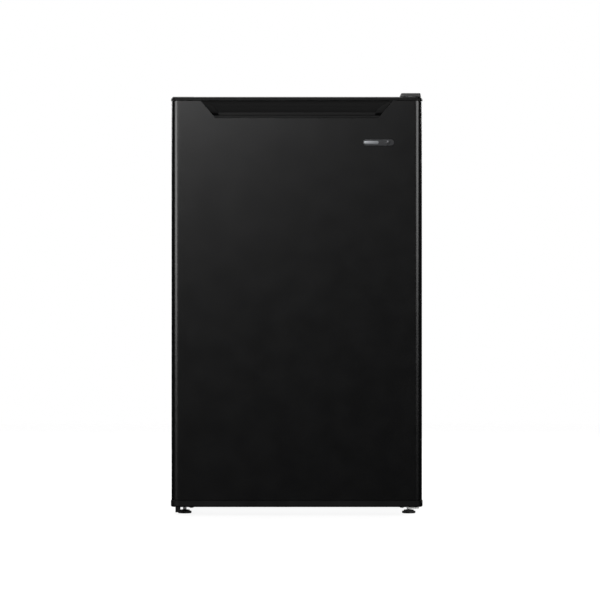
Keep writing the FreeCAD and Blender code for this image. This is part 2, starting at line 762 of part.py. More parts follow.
def process_tube():
    """Charging stub on the compressor, pinched shut."""
    stub = pipe(
        [
            (compressor_x + 30, compressor_y + 40, compressor_low_z + 50),
            (compressor_x + 30, compressor_y + 78, compressor_low_z + 50),
            (compressor_x + 30, compressor_y + 78, compressor_low_z + 100),
        ],
        3.0,
        10.0,
    )
    return stub.cut(dome(0))


def capillary():
    """Fine pipe from the drier through a damping coil and over to the suction line."""
    turns, coil_radius, pitch, bore = 5, 24.0, 3.2, 1.0
    low = drier_low_z - 24.0
    high = low + turns * pitch
    helix = Part.makeHelix(pitch, turns * pitch, coil_radius)
    helix.translate(V(drier_x - coil_radius, drier_y, low))
    start = V(drier_x, drier_y, low)
    direction = helix.Edges[0].tangentAt(helix.Edges[0].FirstParameter)
    ring = Part.Wire(Part.makeCircle(bore, start, direction))
    coil = Part.Solid(Part.Wire(helix.Edges).makePipeShell([ring], True, True))
    inlet = rod(bore, (drier_x, drier_y, high), (drier_x, drier_y, drier_low_z + 1))
    outlet = pipe(
        [
            (drier_x, drier_y, low),
            (drier_x, machine_front_y + 12, low),
            (drier_x, machine_front_y + 12, machine_top_z - 10),
            (suction_x, machine_front_y + 12, machine_top_z - 10),
            (suction_x, suction_y - suction_radius, machine_top_z - 10),
        ],
        bore,
        8.0,
    )
    return coil.multiFuse([inlet, outlet, Part.makeSphere(bore, start), Part.makeSphere(bore, V(drier_x, drier_y, high))])


def make_drier():
    """Copper filter-drier with spun ends."""
    low, high = drier_low_z, drier_low_z + drier_length
    cone = 10.0
    body = rod(9.0, (drier_x, drier_y, low + cone), (drier_x, drier_y, high - cone))
    top = Part.makeCone(9.0, 3.2, cone, V(drier_x, drier_y, high - cone), V(0, 0, 1))
    bottom = Part.makeCone(2.0, 9.0, cone, V(drier_x, drier_y, low), V(0, 0, 1))
    drier = join([body, top, bottom])
    bore = rod(condenser_radius, (drier_x, drier_y, high), (drier_x, drier_y, high + 2))
    return drier.cut(bore).cut(rod(1.0, (drier_x, drier_y, low - 2), (drier_x, drier_y, low + 1)))


pan_z = (compressor_top_z + 2, compressor_top_z + 26)


def make_evaporating_pan():
    """Tray on the compressor, whose warmth dries off the defrost water."""
    x = (compressor_x - 104, compressor_x + 24)
    y = (machine_front_y + 22, cab_back_y - 12)
    pan = tray(x, y, pan_z, 1.8, 10.0)
    return pan.cut(suction_room())


def suction_room():
    """Room past the pan's corner for the suction pipe."""
    return block((compressor_x + 24, compressor_x + 60), (compressor_y, cab_back_y), pan_z)


def make_drain_tube():
    """Hose from the gutter at the back of the compartment to the pan."""
    z = hump_top_z + 8.0
    return pipe(
        [(drain_x, wall_back_y, z), (drain_x, drain_y, z), (drain_x, drain_y, pan_z[0] + 12)],
        drain_radius,
        8.0,
    )


# ---------------------------------------------------------------- freezer box
evaporator_t = 1.6
channel_rise = 1.6          # refrigerant channels above the sheet
frame_depth = 8.0
flap_axis_z = evaporator_top_z - 12.0
flap_axis_y = evaporator_front_y - frame_depth - 5.0
flap_pin = 2.0
flap_x = evaporator_x - 4.0


def make_evaporator():
    """Roll-bonded aluminium box, open to the front, with the refrigerant's channels raised on its outside."""
    x = (-evaporator_x, evaporator_x)
    y = (evaporator_front_y, evaporator_back_y)
    z = (evaporator_low_z, evaporator_top_z)
    t = evaporator_t
    outer = rounded(block(x, y, z), 12.0, "Y")
    inside = rounded(block((x[0] + t, x[1] - t), (y[0] - 1, y[1] - t), (z[0] + t, z[1] - t)), 12.0 - t, "Y")
    channel_x, low, high = evaporator_x - 26, z[1] - 0.5, z[1] + channel_rise
    ends = (y[0] + 30, y[1] - 24)
    channels = []
    for along_y in spread(ends[0], ends[1], 6):
        channels.append(block((-channel_x, channel_x), (along_y - 2.5, along_y + 2.5), (low, high)))
    for across in (-channel_x, channel_x):
        channels.append(block((across - 2.5, across + 2.5), (ends[0] - 2.5, ends[1] + 2.5), (low, high)))
    return join([outer] + channels).cut(inside)


def make_hangers():
    """Posts between the evaporator and the ceiling."""
    found = []
    for x in (-evaporator_x + 14, evaporator_x - 14):
        for y in (evaporator_front_y + 14, evaporator_back_y - 12):
            found.append(rod(6.0, (x, y, evaporator_top_z), (x, y, ceiling_z)))
    return Part.Compound(found)


def make_freezer_frame():
    """Bezel on the freezer's mouth, with two ears that carry the flap's pins."""
    y = (evaporator_front_y - frame_depth, evaporator_front_y)
    outer = rounded(block((-evaporator_x - 7, evaporator_x + 7), y, (evaporator_low_z - 4, evaporator_top_z + 5)), 8.0, "Y")
    mouth = rounded(
        block((-evaporator_x + 9, evaporator_x - 9), (y[0] - 1, y[1] + 1), (evaporator_low_z + 8, evaporator_top_z - 8)),
        6.0,
        "Y",
    )
    frame = outer.cut(mouth)
    for side in (1, -1):
        x = sorted((side * (flap_x + 1.0), side * (flap_x + 5.0)))
        ear = block(x, (flap_axis_y - 5, y[0]), (flap_axis_z - 6, flap_axis_z + 6))
        ear = rounded(ear, 4.0, "X", lambda m: m.y < flap_axis_y)
        frame = frame.fuse(ear)
    hole = rod(flap_pin + running_gap, (-half_width, flap_axis_y, flap_axis_z), (half_width, flap_axis_y, flap_axis_z))
    return frame.cut(hole)


def make_flap():
    """Freezer door, hung by two pins at its top edge, with a pull along its lower edge."""
    y = (flap_axis_y - 3, flap_axis_y + 3)
    z = (evaporator_low_z + 2, flap_axis_z + 3)
    plate = rounded(block((-flap_x, flap_x), y, z), 5.0, "Y", lambda m: m.z < z[0] + 1)
    plate = rounded(plate, 2.8, "X", lambda m: m.z > z[1] - 1)
    pocket = rounded(
        block((-flap_x + 4, flap_x - 4), (y[0] + 2.5, y[1] + 1), (z[0] + 4, flap_axis_z - 8)), 3.0, "Y"
    )
    plate = plate.cut(pocket)
    grip = block((-60, 60), (y[0] - 8, y[0] + 1), (z[0] + 2, z[0] + 5))
    grip = rounded(grip, 6.0, "Z", lambda m: m.y < y[0] - 7)
    pins = rod(flap_pin, (-flap_x - 4.5, flap_axis_y, flap_axis_z), (flap_x + 4.5, flap_axis_y, flap_axis_z))
    return join([plate, grip, pins])


def make_drip_tray():
    """Shallow tray that slides on ledges under the freezer."""
    x = evaporator_x + 9
    y = (shelf_front_y + 18, wall_back_y - 14)
    body = tray((-x, x), y, (drip_low_z, drip_top_z), 1.8, 8.0)
    flange = block((-shelf_x, shelf_x), y, (drip_top_z - drip_flange, drip_top_z))
    inside = block((-x + 1.8, x - 1.8), (y[0] + 1.8, y[1] - 1.8), (drip_low_z, drip_top_z + 1))
    return body.fuse(flange.cut(rounded(inside, 6.2, "Z"))).removeSplitter()


# ---------------------------------------------------------------- shelves and crisper
def make_shelf(z):
    """Coated wire shelf: a bent frame rod, wires front to back on top of it, and two cross rods below."""
    y = (shelf_front_y + shelf_rod, wall_back_y - 6)
    x = shelf_x - shelf_rod
    wire, corner = 1.6, 14.0
    loop = block((-x, x), y, (z, z + 1))
    loop = rounded(loop, corner, "Z")
    spine = [f for f in loop.Faces if abs(f.CenterOfMass.z - z) < 0.01][0].OuterWire
    ring = Part.Wire(Part.makeCircle(shelf_rod, V(0, y[0], z), V(1, 0, 0)))
    frame = Part.Solid(started_at(spine, V(0, y[0], z)).makePipeShell([ring], True, False))
    bars = [frame]
    for wire_x in spread(-x + 24, x - 24, 15):
        bars.append(rod(wire, (wire_x, y[0], z + 0.7), (wire_x, y[1], z + 0.7)))
    for cross_y in spread(y[0] + 70, y[1] - 60, 2):
        bars.append(rod(2.0, (-x, cross_y, z - 0.4), (x, cross_y, z - 0.4)))
    return bars[0].multiFuse(bars[1:])


def started_at(wire, point):
    """The closed wire, split so that it begins at a point on one of its edges."""
    edges = Part.__sortEdges__(wire.Edges)
    for n, edge in enumerate(edges):
        if edge.distToShape(Part.Vertex(point))[0] < 1e-6:
            ends = [v.Point for v in edge.Vertexes]
            ahead = edges[n + 1 :] + edges[:n]
            joint = ahead[0].Vertexes
            meets = [e for e in ends if min((e - v.Point).Length for v in joint) < 1e-6][0]
            other = [e for e in ends if (e - meets).Length > 1e-6][0]
            return Part.Wire([Part.makeLine(point, meets)] + ahead + [Part.makeLine(other, point)])
    raise ValueError("the point lies on no edge of the wire")


lid_lap = 6.0
trim_y = (shelf_front_y, shelf_front_y + 14.0)


def make_crisper_lid():
    glass = block((-shelf_x + 1, shelf_x - 1), (trim_y[1] - lid_lap, wall_back_y - 6), (lid_low_z, lid_top_z))
    return rounded(glass, 4.0, "Z", lambda m: m.y > 0)


def make_lid_trim():
    """Plastic nosing that grips the lid's front edge."""
    x = ledge_x - 1.5
    bar = block((-x, x), trim_y, (lid_low_z - 7, lid_top_z + 3))
    bar = rounded(bar, 3.0, "X", lambda m: m.y < trim_y[0] + 1)
    slot = block((-x - 1, x + 1), (trim_y[1] - lid_lap, trim_y[1] + 1), (lid_low_z, lid_top_z))
    return bar.cut(slot)


drawer_x = ledge_x - 5.0
drawer_y = (shelf_front_y + 1.0, hump_face_y - 8.0)
drawer_z = (floor_z + 0.5, lid_low_z - 16.0)


def make_drawer():
    """Crisper drawer with a grip moulded under its front rim."""
    y, z = drawer_y, drawer_z
    body = tray((-drawer_x, drawer_x), y, z, 2.2, 12.0)
    body = body.makeChamfer(1.6, [e for e in body.Edges if abs(e.BoundBox.ZMax - z[0]) < 0.01])
    rim = block((-drawer_x - 3, drawer_x + 3), (y[0] - 0.0, y[1] + 2), (z[1] - 2.5, z[1]))
    rim = rounded(rim, 12.0, "Z")
    inside = block((-drawer_x + 2.2, drawer_x - 2.2), (y[0] + 2.2, y[1] - 2.2), (z[0], z[1] + 1))
    grip = block((-70, 70), (y[0] + 2, y[0] + 16), (z[1] - 16, z[1] - 2))
    scoop = block((-66, 66), (y[0] - 1, y[0] + 13), (z[1] - 20, z[1] - 4.5))
    body = body.fuse(grip).fuse(rim.cut(rounded(inside, 9.8, "Z"))).removeSplitter()
    return body.cut(rounded(scoop, 5.0, "X", lambda m: m.y > y[0]))


# ---------------------------------------------------------------- control box, lamp and switch
control_x = (wall_x - 58.0, wall_x)
control_y = (shelf_front_y + 18.0, shelf_front_y + 158.0)
control_z = (drip_low_z - 50.0, drip_low_z - 4.0)
control_wall = 2.0
knob_x = control_x[0] + 28.0
knob_z = (control_z[0] + control_z[1]) / 2
knob_radius = 16.0
knob_length = 13.0
shaft_radius = 3.0
lamp_y = control_y[0] + 92.0
window = ((lamp_y - 36, lamp_y + 36), (control_z[0] + 8, control_z[1] - 8))


def make_control_box():
    """Housing on the right wall for the thermostat and the lamp."""
    outer = rounded(block(control_x, control_y, control_z), 8.0, "Y", lambda m: m.x < control_x[0] + 1)
    outer = rounded(outer, 5.0, "Z", lambda m: m.x < control_x[0] + 9)
    inside = block(
        (control_x[0] + control_wall, control_x[1] + 1),
        (control_y[0] + control_wall, control_y[1] - control_wall),
        (control_z[0] + control_wall, control_z[1] - control_wall),
    )
    inside = rounded(inside, 6.0, "Y", lambda m: m.x < control_x[0] + 5)
    socket = rod(13.0, (knob_x, control_y[1] - 26, knob_z), (knob_x, control_y[1] - 1, knob_z))
    socket = socket.cut(rod(11.2, (knob_x, control_y[1] - 27, knob_z), (knob_x, control_y[1] - 6, knob_z)))
    box = outer.cut(inside).fuse(socket)
    box = box.cut(block((control_x[0] - 1, control_x[0] + 4), *window))
    return box.cut(rod(shaft_radius + 1, (knob_x, control_y[0] - 1, knob_z), (knob_x, control_y[0] + 5, knob_z)))


def make_lamp_lens():
    """Clear cover in the housing's window, ribbed to spread the light."""
    (y0, y1), (z0, z1) = window
    pane = block((control_x[0], control_x[0] + 1.8), (y0 + 0.3, y1 - 0.3), (z0 + 0.3, z1 - 0.3))
    ribs = []
    for y in spread(y0 + 6, y1 - 6, 11):
        ribs.append(rod(0.8, (control_x[0] + 1.8, y, z0 + 3), (control_x[0] + 1.8, y, z1 - 3)))
    return pane.multiFuse(ribs)


def make_bulb():
    """Small screw-base lamp lying along the housing."""
    base_y = control_y[1] - 8
    base = rod(7.0, (knob_x, base_y - 22, knob_z), (knob_x, base_y, knob_z))
    collar = rod(10.8, (knob_x, base_y - 18, knob_z), (knob_x, base_y - 14, knob_z))
    neck = rod(6.4, (knob_x, base_y - 30, knob_z), (knob_x, base_y - 20, knob_z))
    globe = Part.makeSphere(12.0, V(knob_x, base_y - 38, knob_z))
    return join([base, collar, neck, globe])


def make_thermostat():
    """Thermostat with its shaft through the housing's front."""
    y = (control_y[0] + control_wall, control_y[0] + 34)
    body = rounded(block((knob_x - 18, knob_x + 22), y, (knob_z - 16, knob_z + 16)), 2.0, "Y")
    shaft = rod(shaft_radius, (knob_x, control_y[0] - 10, knob_z), (knob_x, y[0] + 1, knob_z))
    return body.fuse(shaft)


def make_knob():
    """Thermostat knob with a raised bar to turn it by."""
    back = control_y[0] - 0.5
    disc = rod(knob_radius, (knob_x, back, knob_z), (knob_x, back - 6, knob_z))
    disc = disc.makeFillet(1.5, [e for e in disc.Edges if abs(e.CenterOfMass.y - back + 6) < 0.01])
    bar = block((knob_x - 3.5, knob_x + 3.5), (back - knob_length, back - 5), (knob_z - 13, knob_z + 13))
    bar = rounded(bar, 2.5, "Y")
    knob = disc.fuse(bar)
    return knob.cut(rod(shaft_radius + running_gap, (knob_x, back - 10, knob_z), (knob_x, back + 1, knob_z)))


def make_switch():
    """Body of the door switch, set in the foam behind the front frame."""
    wide, high, deep = switch_size
    x = (switch_x - wide / 2, switch_x + wide / 2)
    body = block(x, (cab_front_y + liner_t, cab_front_y + deep), (switch_z - high / 2, switch_z + high / 2))
    collar = rod(4.2, (switch_x, cab_front_y, switch_z), (switch_x, cab_front_y + 3, switch_z))
    bore = rod(plunger_radius + running_gap, (switch_x, cab_front_y - 1, switch_z), (switch_x, cab_front_y + 22, switch_z))
    return body.fuse(collar).cut(bore)


def make_plunger():
    """Plunger held in by the shut door; it follows the door out as that opens."""
    tip_y = door_back_y + 0.3
    rod_end = cab_front_y + 16
    body = rod(plunger_radius, (switch_x, tip_y, switch_z), (switch_x, rod_end, switch_z))
    return body.makeFillet(1.2, [e for e in body.Edges if abs(e.CenterOfMass.y - tip_y) < 0.01])


# ---------------------------------------------------------------- door
pocket_top = 193.0          # half widths of the finger pocket in the skin
pocket_bottom = 167.0
pocket_back_top = 160.0
pocket_back_bottom = 156.0
pocket_depth = 24.0
pocket_high_z = door_top_z - top_cap_height
pocket_low_z = door_top_z - 37.0
groove_low_z = pocket_low_z - 11.0
pocket_wall = 2.0
skin_back_y = skin_y + sheet
cap_back_y = door_back_y - liner_t


def pocket_space(grow):
    """The finger pocket: a scoop that leans back as it goes down, and a groove behind the skin's upper edge."""
    y0, y1 = front_y - 2, front_y + pocket_depth + grow
    low, high = pocket_low_z - grow, pocket_high_z + grow

    def outline(top, bottom, y):
        corners = [V(-bottom, y, low), V(bottom, y, low), V(top, y, high), V(-top, y, high)]
        return Part.makePolygon(corners + corners[:1])

    flare = (y0 - front_y) / pocket_depth
    front_top = pocket_top + grow - flare * (pocket_top - pocket_back_top)
    front_bottom = pocket_bottom + grow - flare * (pocket_bottom - pocket_back_bottom)
    funnel = Part.makeLoft(
        [outline(front_top, front_bottom, y0), outline(pocket_back_top + grow, pocket_back_bottom + grow, y1)],
        True,
        True,
    )
    roof = [
        (y0, low - 1),
        (y0, high),
        (front_y + 3, high),
        (front_y + 10, high - 5),
        (front_y + 17, high - 12),
        (y1, high - 22),
        (y1, low - 1),
    ]
    scoop = funnel.common(prism_x(roof, (-pocket_top * 2, pocket_top * 2)))
    groove = block(
        (-pocket_back_bottom - grow, pocket_back_bottom + grow),
        (skin_back_y + pocket_wall - grow, y1),
        (groove_low_z - grow, pocket_low_z + 2),
    )
    return scoop.fuse(rounded(groove, 4.0, "X", lambda m: m.z < groove_low_z + 5)).removeSplitter()


def door_outline(grow, z, back_y):
    """A slab with the door's plan: round upright edges in front, square behind."""
    slab = block((-half_width - grow, half_width + grow), (skin_y - grow, back_y), z)
    return rounded(slab, door_edge_radius + grow, "Z", lambda m: m.y < skin_y + 5)


def make_skin():
    """Painted sheet bent round the door's edges, with the pocket's opening cut in its top."""
    z = (door_bottom_z + bottom_cap_height, door_top_z - top_cap_height)
    outer = door_outline(0, z, cap_back_y)
    inner = door_outline(-sheet, (z[0] - 1, z[1] + 1), cap_back_y + 1)
    return outer.cut(inner).cut(pocket_space(0))


def front_rim(cap, z):
    """The cap's outer edges at height z, all but the one along the door's back."""
    return [e for e in cap.Edges if abs(e.CenterOfMass.z - z) < 0.01 and e.CenterOfMass.y < door_back_y - 1]


def seam_ring(low_z):
    """The shadow gap round the door's front and sides, cut out of a cap."""
    z = (low_z, low_z + seam_height)
    return door_outline(cap_proud + 1, z, door_back_y).cut(door_outline(-seam_depth, z, door_back_y + 1))


def make_top_cap():
    """Moulded end of the door with its finger pocket, and under that the trough clipped to it."""
    z = (door_top_z - top_cap_height, door_top_z)
    cap = door_outline(cap_proud, z, door_back_y)
    cap = cap.makeFillet(top_cap_round, front_rim(cap, door_top_z))
    tub = pocket_space(pocket_wall).common(
        block((-half_width, half_width), (skin_back_y, door_back_y), (groove_low_z - 10, door_top_z - 2))
    )
    cap = join([cap, tub] + [hinge_boss(side * hinge_x, door_top_z, -1) for side in (1, -1)])
    cap = cap.cut(pocket_space(0)).cut(seam_ring(z[0]))
    for side in (1, -1):
        cap = cap.cut(bush_hole(side * hinge_x, door_top_z, -1))
    trough_top_z = pocket_low_z + 2
    x, y = (-half_width - 5, half_width + 5), (front_y - 5, door_back_y + 5)
    upper = cap.common(block(x, y, (trough_top_z, door_top_z + 5)))
    trough = cap.common(block(x, y, (groove_low_z - 15, trough_top_z)))
    return Part.Compound([upper, trough])


def hinge_boss(x, face_z, way):
    """The thick-walled barrel that holds a bush or a plug inside the door."""
    low, high = face_z + way * 4, face_z + way * (pin_depth + 6)
    return rod(bush_radius + 2.5, (x, hinge_y, low), (x, hinge_y, high))


def bush_hole(x, face_z, way):
    """The stepped hole for a hinge bush, open at the cap's outer face. way is the direction into the door."""
    flange = rod(bush_flange_radius, (x, hinge_y, face_z - way), (x, hinge_y, face_z + way * 2.0))
    return flange.fuse(rod(bush_radius, (x, hinge_y, face_z), (x, hinge_y, face_z + way * (pin_depth + 2))))


def make_bottom_cap():
    z = (door_bottom_z, door_bottom_z + bottom_cap_height)
    cap = door_outline(cap_proud, z, door_back_y)
    cap = cap.makeFillet(bottom_cap_round, front_rim(cap, door_bottom_z))
    cap = join([cap] + [hinge_boss(side * hinge_x, door_bottom_z, 1) for side in (1, -1)])
    cap = cap.cut(seam_ring(z[1] - seam_height))
    for side in (1, -1):
        cap = cap.cut(bush_hole(side * hinge_x, door_bottom_z, 1))
    return cap


def make_bushes():
    """Plain bearings for the two hinge pins, and flush plugs in the holes that wait on the other side."""
    found = []
    for face_z, way in ((door_top_z, -1), (door_bottom_z, 1)):
        end = face_z + way * (pin_depth + 2)
        for x in (hinge_x, -hinge_x):
            flange = rod(bush_flange_radius, (x, hinge_y, face_z), (x, hinge_y, face_z + way * 2.0))
            body = flange.fuse(rod(bush_radius, (x, hinge_y, face_z + way * 2.0), (x, hinge_y, end)))
            if x > 0:
                bore_end = end - way * 1.0
                body = body.cut(rod(hinge_pin_radius + running_gap, (x, hinge_y, face_z - way), (x, hinge_y, bore_end)))
            else:
                body = body.cut(rod(bush_radius - plug_wall, (x, hinge_y, face_z + way * 2.0), (x, hinge_y, end + way)))
            found.append(body)
    return Part.Compound(found)


boss_x = dyke_inner_x - 3.0
boss_y = (door_back_y + 8.0, door_back_y + 18.0)
boss_height = 14.0
bin_top_drop = 8.0          # bin's hanging boss below its rim

low_bin_z = dyke_low_z + dyke_bottom + 4.0
low_bin_top_z = low_bin_z + low_bin_height
high_bin_top_z = drip_low_z - 10.0 - bin_lift
high_bin_z = high_bin_top_z - small_bin_height
middle_bin_z = lower_shelf_z + 18.0
bin_levels = {
    "door_bin_upper": (high_bin_z, high_bin_top_z),
    "door_bin_middle": (middle_bin_z, middle_bin_z + small_bin_height),
    "door_bin_lower": (low_bin_z, low_bin_top_z),
}


def dyke_ring(inset, y):
    """The ridge round the door's inner panel, moved in from its surface by inset."""
    corner = 10.0
    outer = block((-dyke_x + inset, dyke_x - inset), y, (dyke_low_z + inset, dyke_high_z - inset))
    inner = block(
        (-dyke_inner_x - inset, dyke_inner_x + inset),
        (y[0] - 1, y[1] + 1),
        (dyke_low_z + dyke_bottom - inset, dyke_high_z - dyke_top + inset),
    )
    return rounded(outer, corner - inset, "Y").cut(rounded(inner, corner - 4 + inset, "Y"))


def make_door_liner():
    """White inner panel with a hollow ridge and bosses for the bins."""
    z = (door_bottom_z + bottom_cap_height, door_top_z - top_cap_height)
    x = half_width - sheet - 0.2
    plate = block((-x, x), (cap_back_y, door_back_y), z)
    ridge = dyke_ring(0, (cap_back_y, dyke_y))
    core = dyke_ring(liner_t, (cap_back_y - 1, dyke_y - liner_t))
    panel = plate.fuse(ridge).cut(core).fuse(gasket_foot(foot_gap + liner_t))
    bosses = []
    for top in [levels[1] for levels in bin_levels.values()]:
        z = (top - bin_top_drop - boss_height, top - bin_top_drop)
        for side in (1, -1):
            x_boss = sorted((side * boss_x, side * (dyke_inner_x + 0.8)))
            boss = block(x_boss, boss_y, z)
            bosses.append(rounded(boss, 3.0, "X"))
    panel = panel.multiFuse(bosses).removeSplitter()
    return panel.cut(gasket_foot(foot_gap))


gasket_x = half_width - gasket_inset
gasket_z = (door_bottom_z + gasket_inset, door_top_z - gasket_inset)
foot_width = 2.4
foot_depth = 5.0
foot_gap = 0.1              # barb to its groove


def gasket_foot(gap):
    """The barb that holds the gasket, grown by a gap on the sides that lie in the panel."""
    inset = (gasket_width - foot_width) / 2 - gap
    z = (gasket_z[0] + inset, gasket_z[1] - inset)
    return ring_on_door(gasket_x - inset, z, foot_width + 2 * gap, (door_back_y - foot_depth - gap, door_back_y))


def make_gasket():
    """Magnetic seal round the door's back."""
    lip = ring_on_door(gasket_x, gasket_z, gasket_width, (door_back_y, cab_front_y - gasket_relief))
    return lip.fuse(gasket_foot(0)).removeSplitter()


def make_door_foam():
    z = (door_bottom_z + bottom_cap_height, door_top_z - top_cap_height)
    foam = door_outline(-sheet, z, cap_back_y)
    foam = foam.fuse(dyke_ring(liner_t, (cap_back_y - 1, dyke_y - liner_t))).removeSplitter()
    foam = foam.cut(made["door_top_cap"]).cut(made["door_bottom_cap"]).cut(pocket_space(0))
    for side in (1, -1):
        foam = foam.cut(bush_hole(side * hinge_x, door_top_z, -1)).cut(bush_hole(side * hinge_x, door_bottom_z, 1))
    return foam.cut(gasket_foot(foot_gap + liner_t))


badge_x = (132.0, 194.0)
badge_drop = 91.0           # badge's middle below the door's top
badge_height = 13.0
badge_t = 1.2


def make_badge():
    """Blank nameplate stuck to the skin."""
    z = door_top_z - badge_drop
    plate = block(badge_x, (skin_y - badge_t, skin_y), (z - badge_height / 2, z + badge_height / 2))
    plate = rounded(plate, badge_height / 2 - 0.1, "Y")
    front = [e for e in plate.Edges if abs(e.CenterOfMass.y - skin_y + badge_t) < 0.01]
    return plate.makeFillet(0.6, front)


# ---------------------------------------------------------------- door bins
bin_x = dyke_inner_x - bin_side_gap


def make_bin(z, height_in_front):
    """Door bin with an arch on each end that drops over a boss of the inner panel."""
    y = (door_back_y + 1.5, bin_front_y)
    body = tray((-bin_x, bin_x), y, z, bin_wall, 9.0)
    low_front = block((-half_width, half_width), (y[0] + 45, y[1] + 1), (z[0] + height_in_front, z[1] + 1))
    body = body.cut(low_front)
    boss_top = z[1] - bin_top_drop
    arches = []
    for side in (1, -1):
        x = sorted((side * (bin_x - 1), side * (dyke_inner_x - 0.5)))
        arch = block(x, (boss_y[0] - 3.5, boss_y[1] + 3.5), (boss_top - boss_height - 2, boss_top + 4))
        gap_x = sorted((side * (boss_x - 0.5), side * (dyke_inner_x + 1)))
        gap = block(gap_x, (boss_y[0] - 0.6, boss_y[1] + 0.6), (boss_top - boss_height - 5, boss_top + 0.4))
        arches.append(rounded(arch, 3.0, "X", lambda m: m.z > boss_top).cut(gap))
    return body.multiFuse(arches).removeSplitter()


def make_bottle_rail():
    """Chromed wire across the front of the bottle bin."""
    z = low_bin_top_z - 14
    x, y = bin_x - bin_wall - 2.5, bin_front_y - 8
    return pipe([(-x, door_back_y + 40, z), (-x, y, z), (x, y, z), (x, door_back_y + 40, z)], 2.0, 6.0)


# ---------------------------------------------------------------- levelling legs
def make_leg_stem(side):
    low = leg_pad_height
    return rod(leg_radius, (side * leg_x, leg_y, low), (side * leg_x, leg_y, low + leg_length))


def make_leg_pad(side):
    """Moulded foot with a hexagon to turn it by."""
    centre = V(side * leg_x, leg_y, 0)
    pad = Part.makeCylinder(leg_pad_radius, 4.5, centre)
    pad = pad.makeFillet(1.2, [e for e in pad.Edges if abs(e.CenterOfMass.z) < 0.01])
    corners = []
    for n in range(6):
        turn = math.radians(60 * n)
        corners.append(centre + V(math.cos(turn), math.sin(turn), 0) * 10.0)
    hexagon = Part.Face(Part.makePolygon(corners + corners[:1])).extrude(V(0, 0, leg_pad_height))
    return pad.fuse(hexagon).removeSplitter()


def make_screws():
    found = [screw(p, (0, 0, -1), 14.0) for p in top_screw_points]
    found += [screw(p, (0, 0, 1), 11.0) for p in bottom_screw_points]
    found += [screw(p, (0, -1, 0), 8.0, 1.9, 3.6, 1.8) for p in back_screw_points]
    return Part.Compound(found)


# ---------------------------------------------------------------- build everything
made["worktop"] = make_worktop()
for point in top_screw_points:
    made["worktop"] = made["worktop"].cut(pilot(point, (0, 0, -1), 15.0))
made["hinge_recess_filler"] = make_recess_filler()
made["top_hinge_bracket"] = make_top_bracket()
made["top_hinge_cover"] = make_top_cover()
made["bottom_hinge_bracket"] = make_bottom_bracket()
made["left_leg_bracket"] = make_left_bracket()
made["case_screws"] = make_screws()
made["cabinet_shell"] = make_shell()
made["back_panel"] = make_back_panel()
made["base_pan"] = make_base_pan()
made["light_switch"] = make_switch()
made["drain_tube"] = make_drain_tube()
made["inner_liner"] = make_liner()
made["cabinet_foam"] = make_foam()
made["compressor_plate"] = make_compressor_plate()
made["rear_feet"] = make_rear_feet()
made["compressor_shell"] = make_compressor_shell()
made["compressor_pump"] = make_compressor_pump()
made["compressor_grommets"] = make_grommets()
made["compressor_bolts"] = make_mount_bolts()
made["compressor_terminal_cover"] = make_terminal_cover()
made["refrigerant_pipes"] = Part.Compound(
    [suction_line(), discharge_line(), liquid_line(), process_tube(), capillary()]
)
made["filter_drier"] = make_drier()
made["condenser_tube"] = make_condenser_tube()
made["condenser_wires"] = make_condenser_wires()
made["condenser_brackets"] = make_condenser_brackets()
made["evaporating_pan"] = make_evaporating_pan()
made["cord_gland"] = make_gland()
made["evaporator"] = make_evaporator()
made["evaporator_hangers"] = make_hangers()
made["freezer_frame"] = make_freezer_frame()
made["freezer_flap"] = make_flap()
made["drip_tray"] = make_drip_tray()
made["shelf_upper"] = make_shelf(upper_shelf_z)
made["shelf_lower"] = make_shelf(lower_shelf_z)
made["crisper_lid"] = make_crisper_lid()
made["crisper_lid_trim"] = make_lid_trim()
made["crisper_drawer"] = make_drawer()
made["control_box"] = make_control_box()
made["lamp_lens"] = make_lamp_lens()
made["lamp_bulb"] = make_bulb()
made["thermostat"] = make_thermostat()
made["thermostat_knob"] = make_knob()
made["light_switch_plunger"] = make_plunger()
made["door_skin"] = make_skin()
made["door_top_cap"] = make_top_cap()
made["door_bottom_cap"] = make_bottom_cap()
made["hinge_bushes_and_plugs"] = make_bushes()
made["door_liner"] = make_door_liner()
made["door_gasket"] = make_gasket()
made["door_foam"] = make_door_foam()
made["door_badge"] = make_badge()
for name, level in bin_levels.items():
    made[name] = make_bin(level, (level[1] - level[0]) * 0.72)
made["bottle_rail"] = make_bottle_rail()
for side, name in ((-1, "left"), (1, "right")):
    made[name + "_leg_stem"] = make_leg_stem(side)
    made[name + "_leg_pad"] = make_leg_pad(side)

for name, shape in made.items():
    solids = shape.Solids
    bad = [s for s in solids if not s.isValid() or s.Volume <= 0]
    print(f"{name}: {len(solids)} solid(s), {sum(s.Volume for s in solids) / 1000:.1f} cm3{' INVALID' if bad else ''}")
    shape.exportStep(f"parts/{name}.step")
print(len(made), "pieces")
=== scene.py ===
# %% [markdown]
# # A compact refrigerator, dressed for its picture
# The steel, foam, plastic and copper come from a CAD model that is already the right size and
# already moves. This script doesn't shape the machine again: it gives every CAD piece the finish
# of its real material, adds the small things that a CAD model leaves plain, and lights it.
# The frame is metres, +X right, +Y to the rear and +Z up, with the origin on the floor.

# %% Load the frame
import json
import math

import bmesh
import bpy
from mathutils import Matrix, Vector


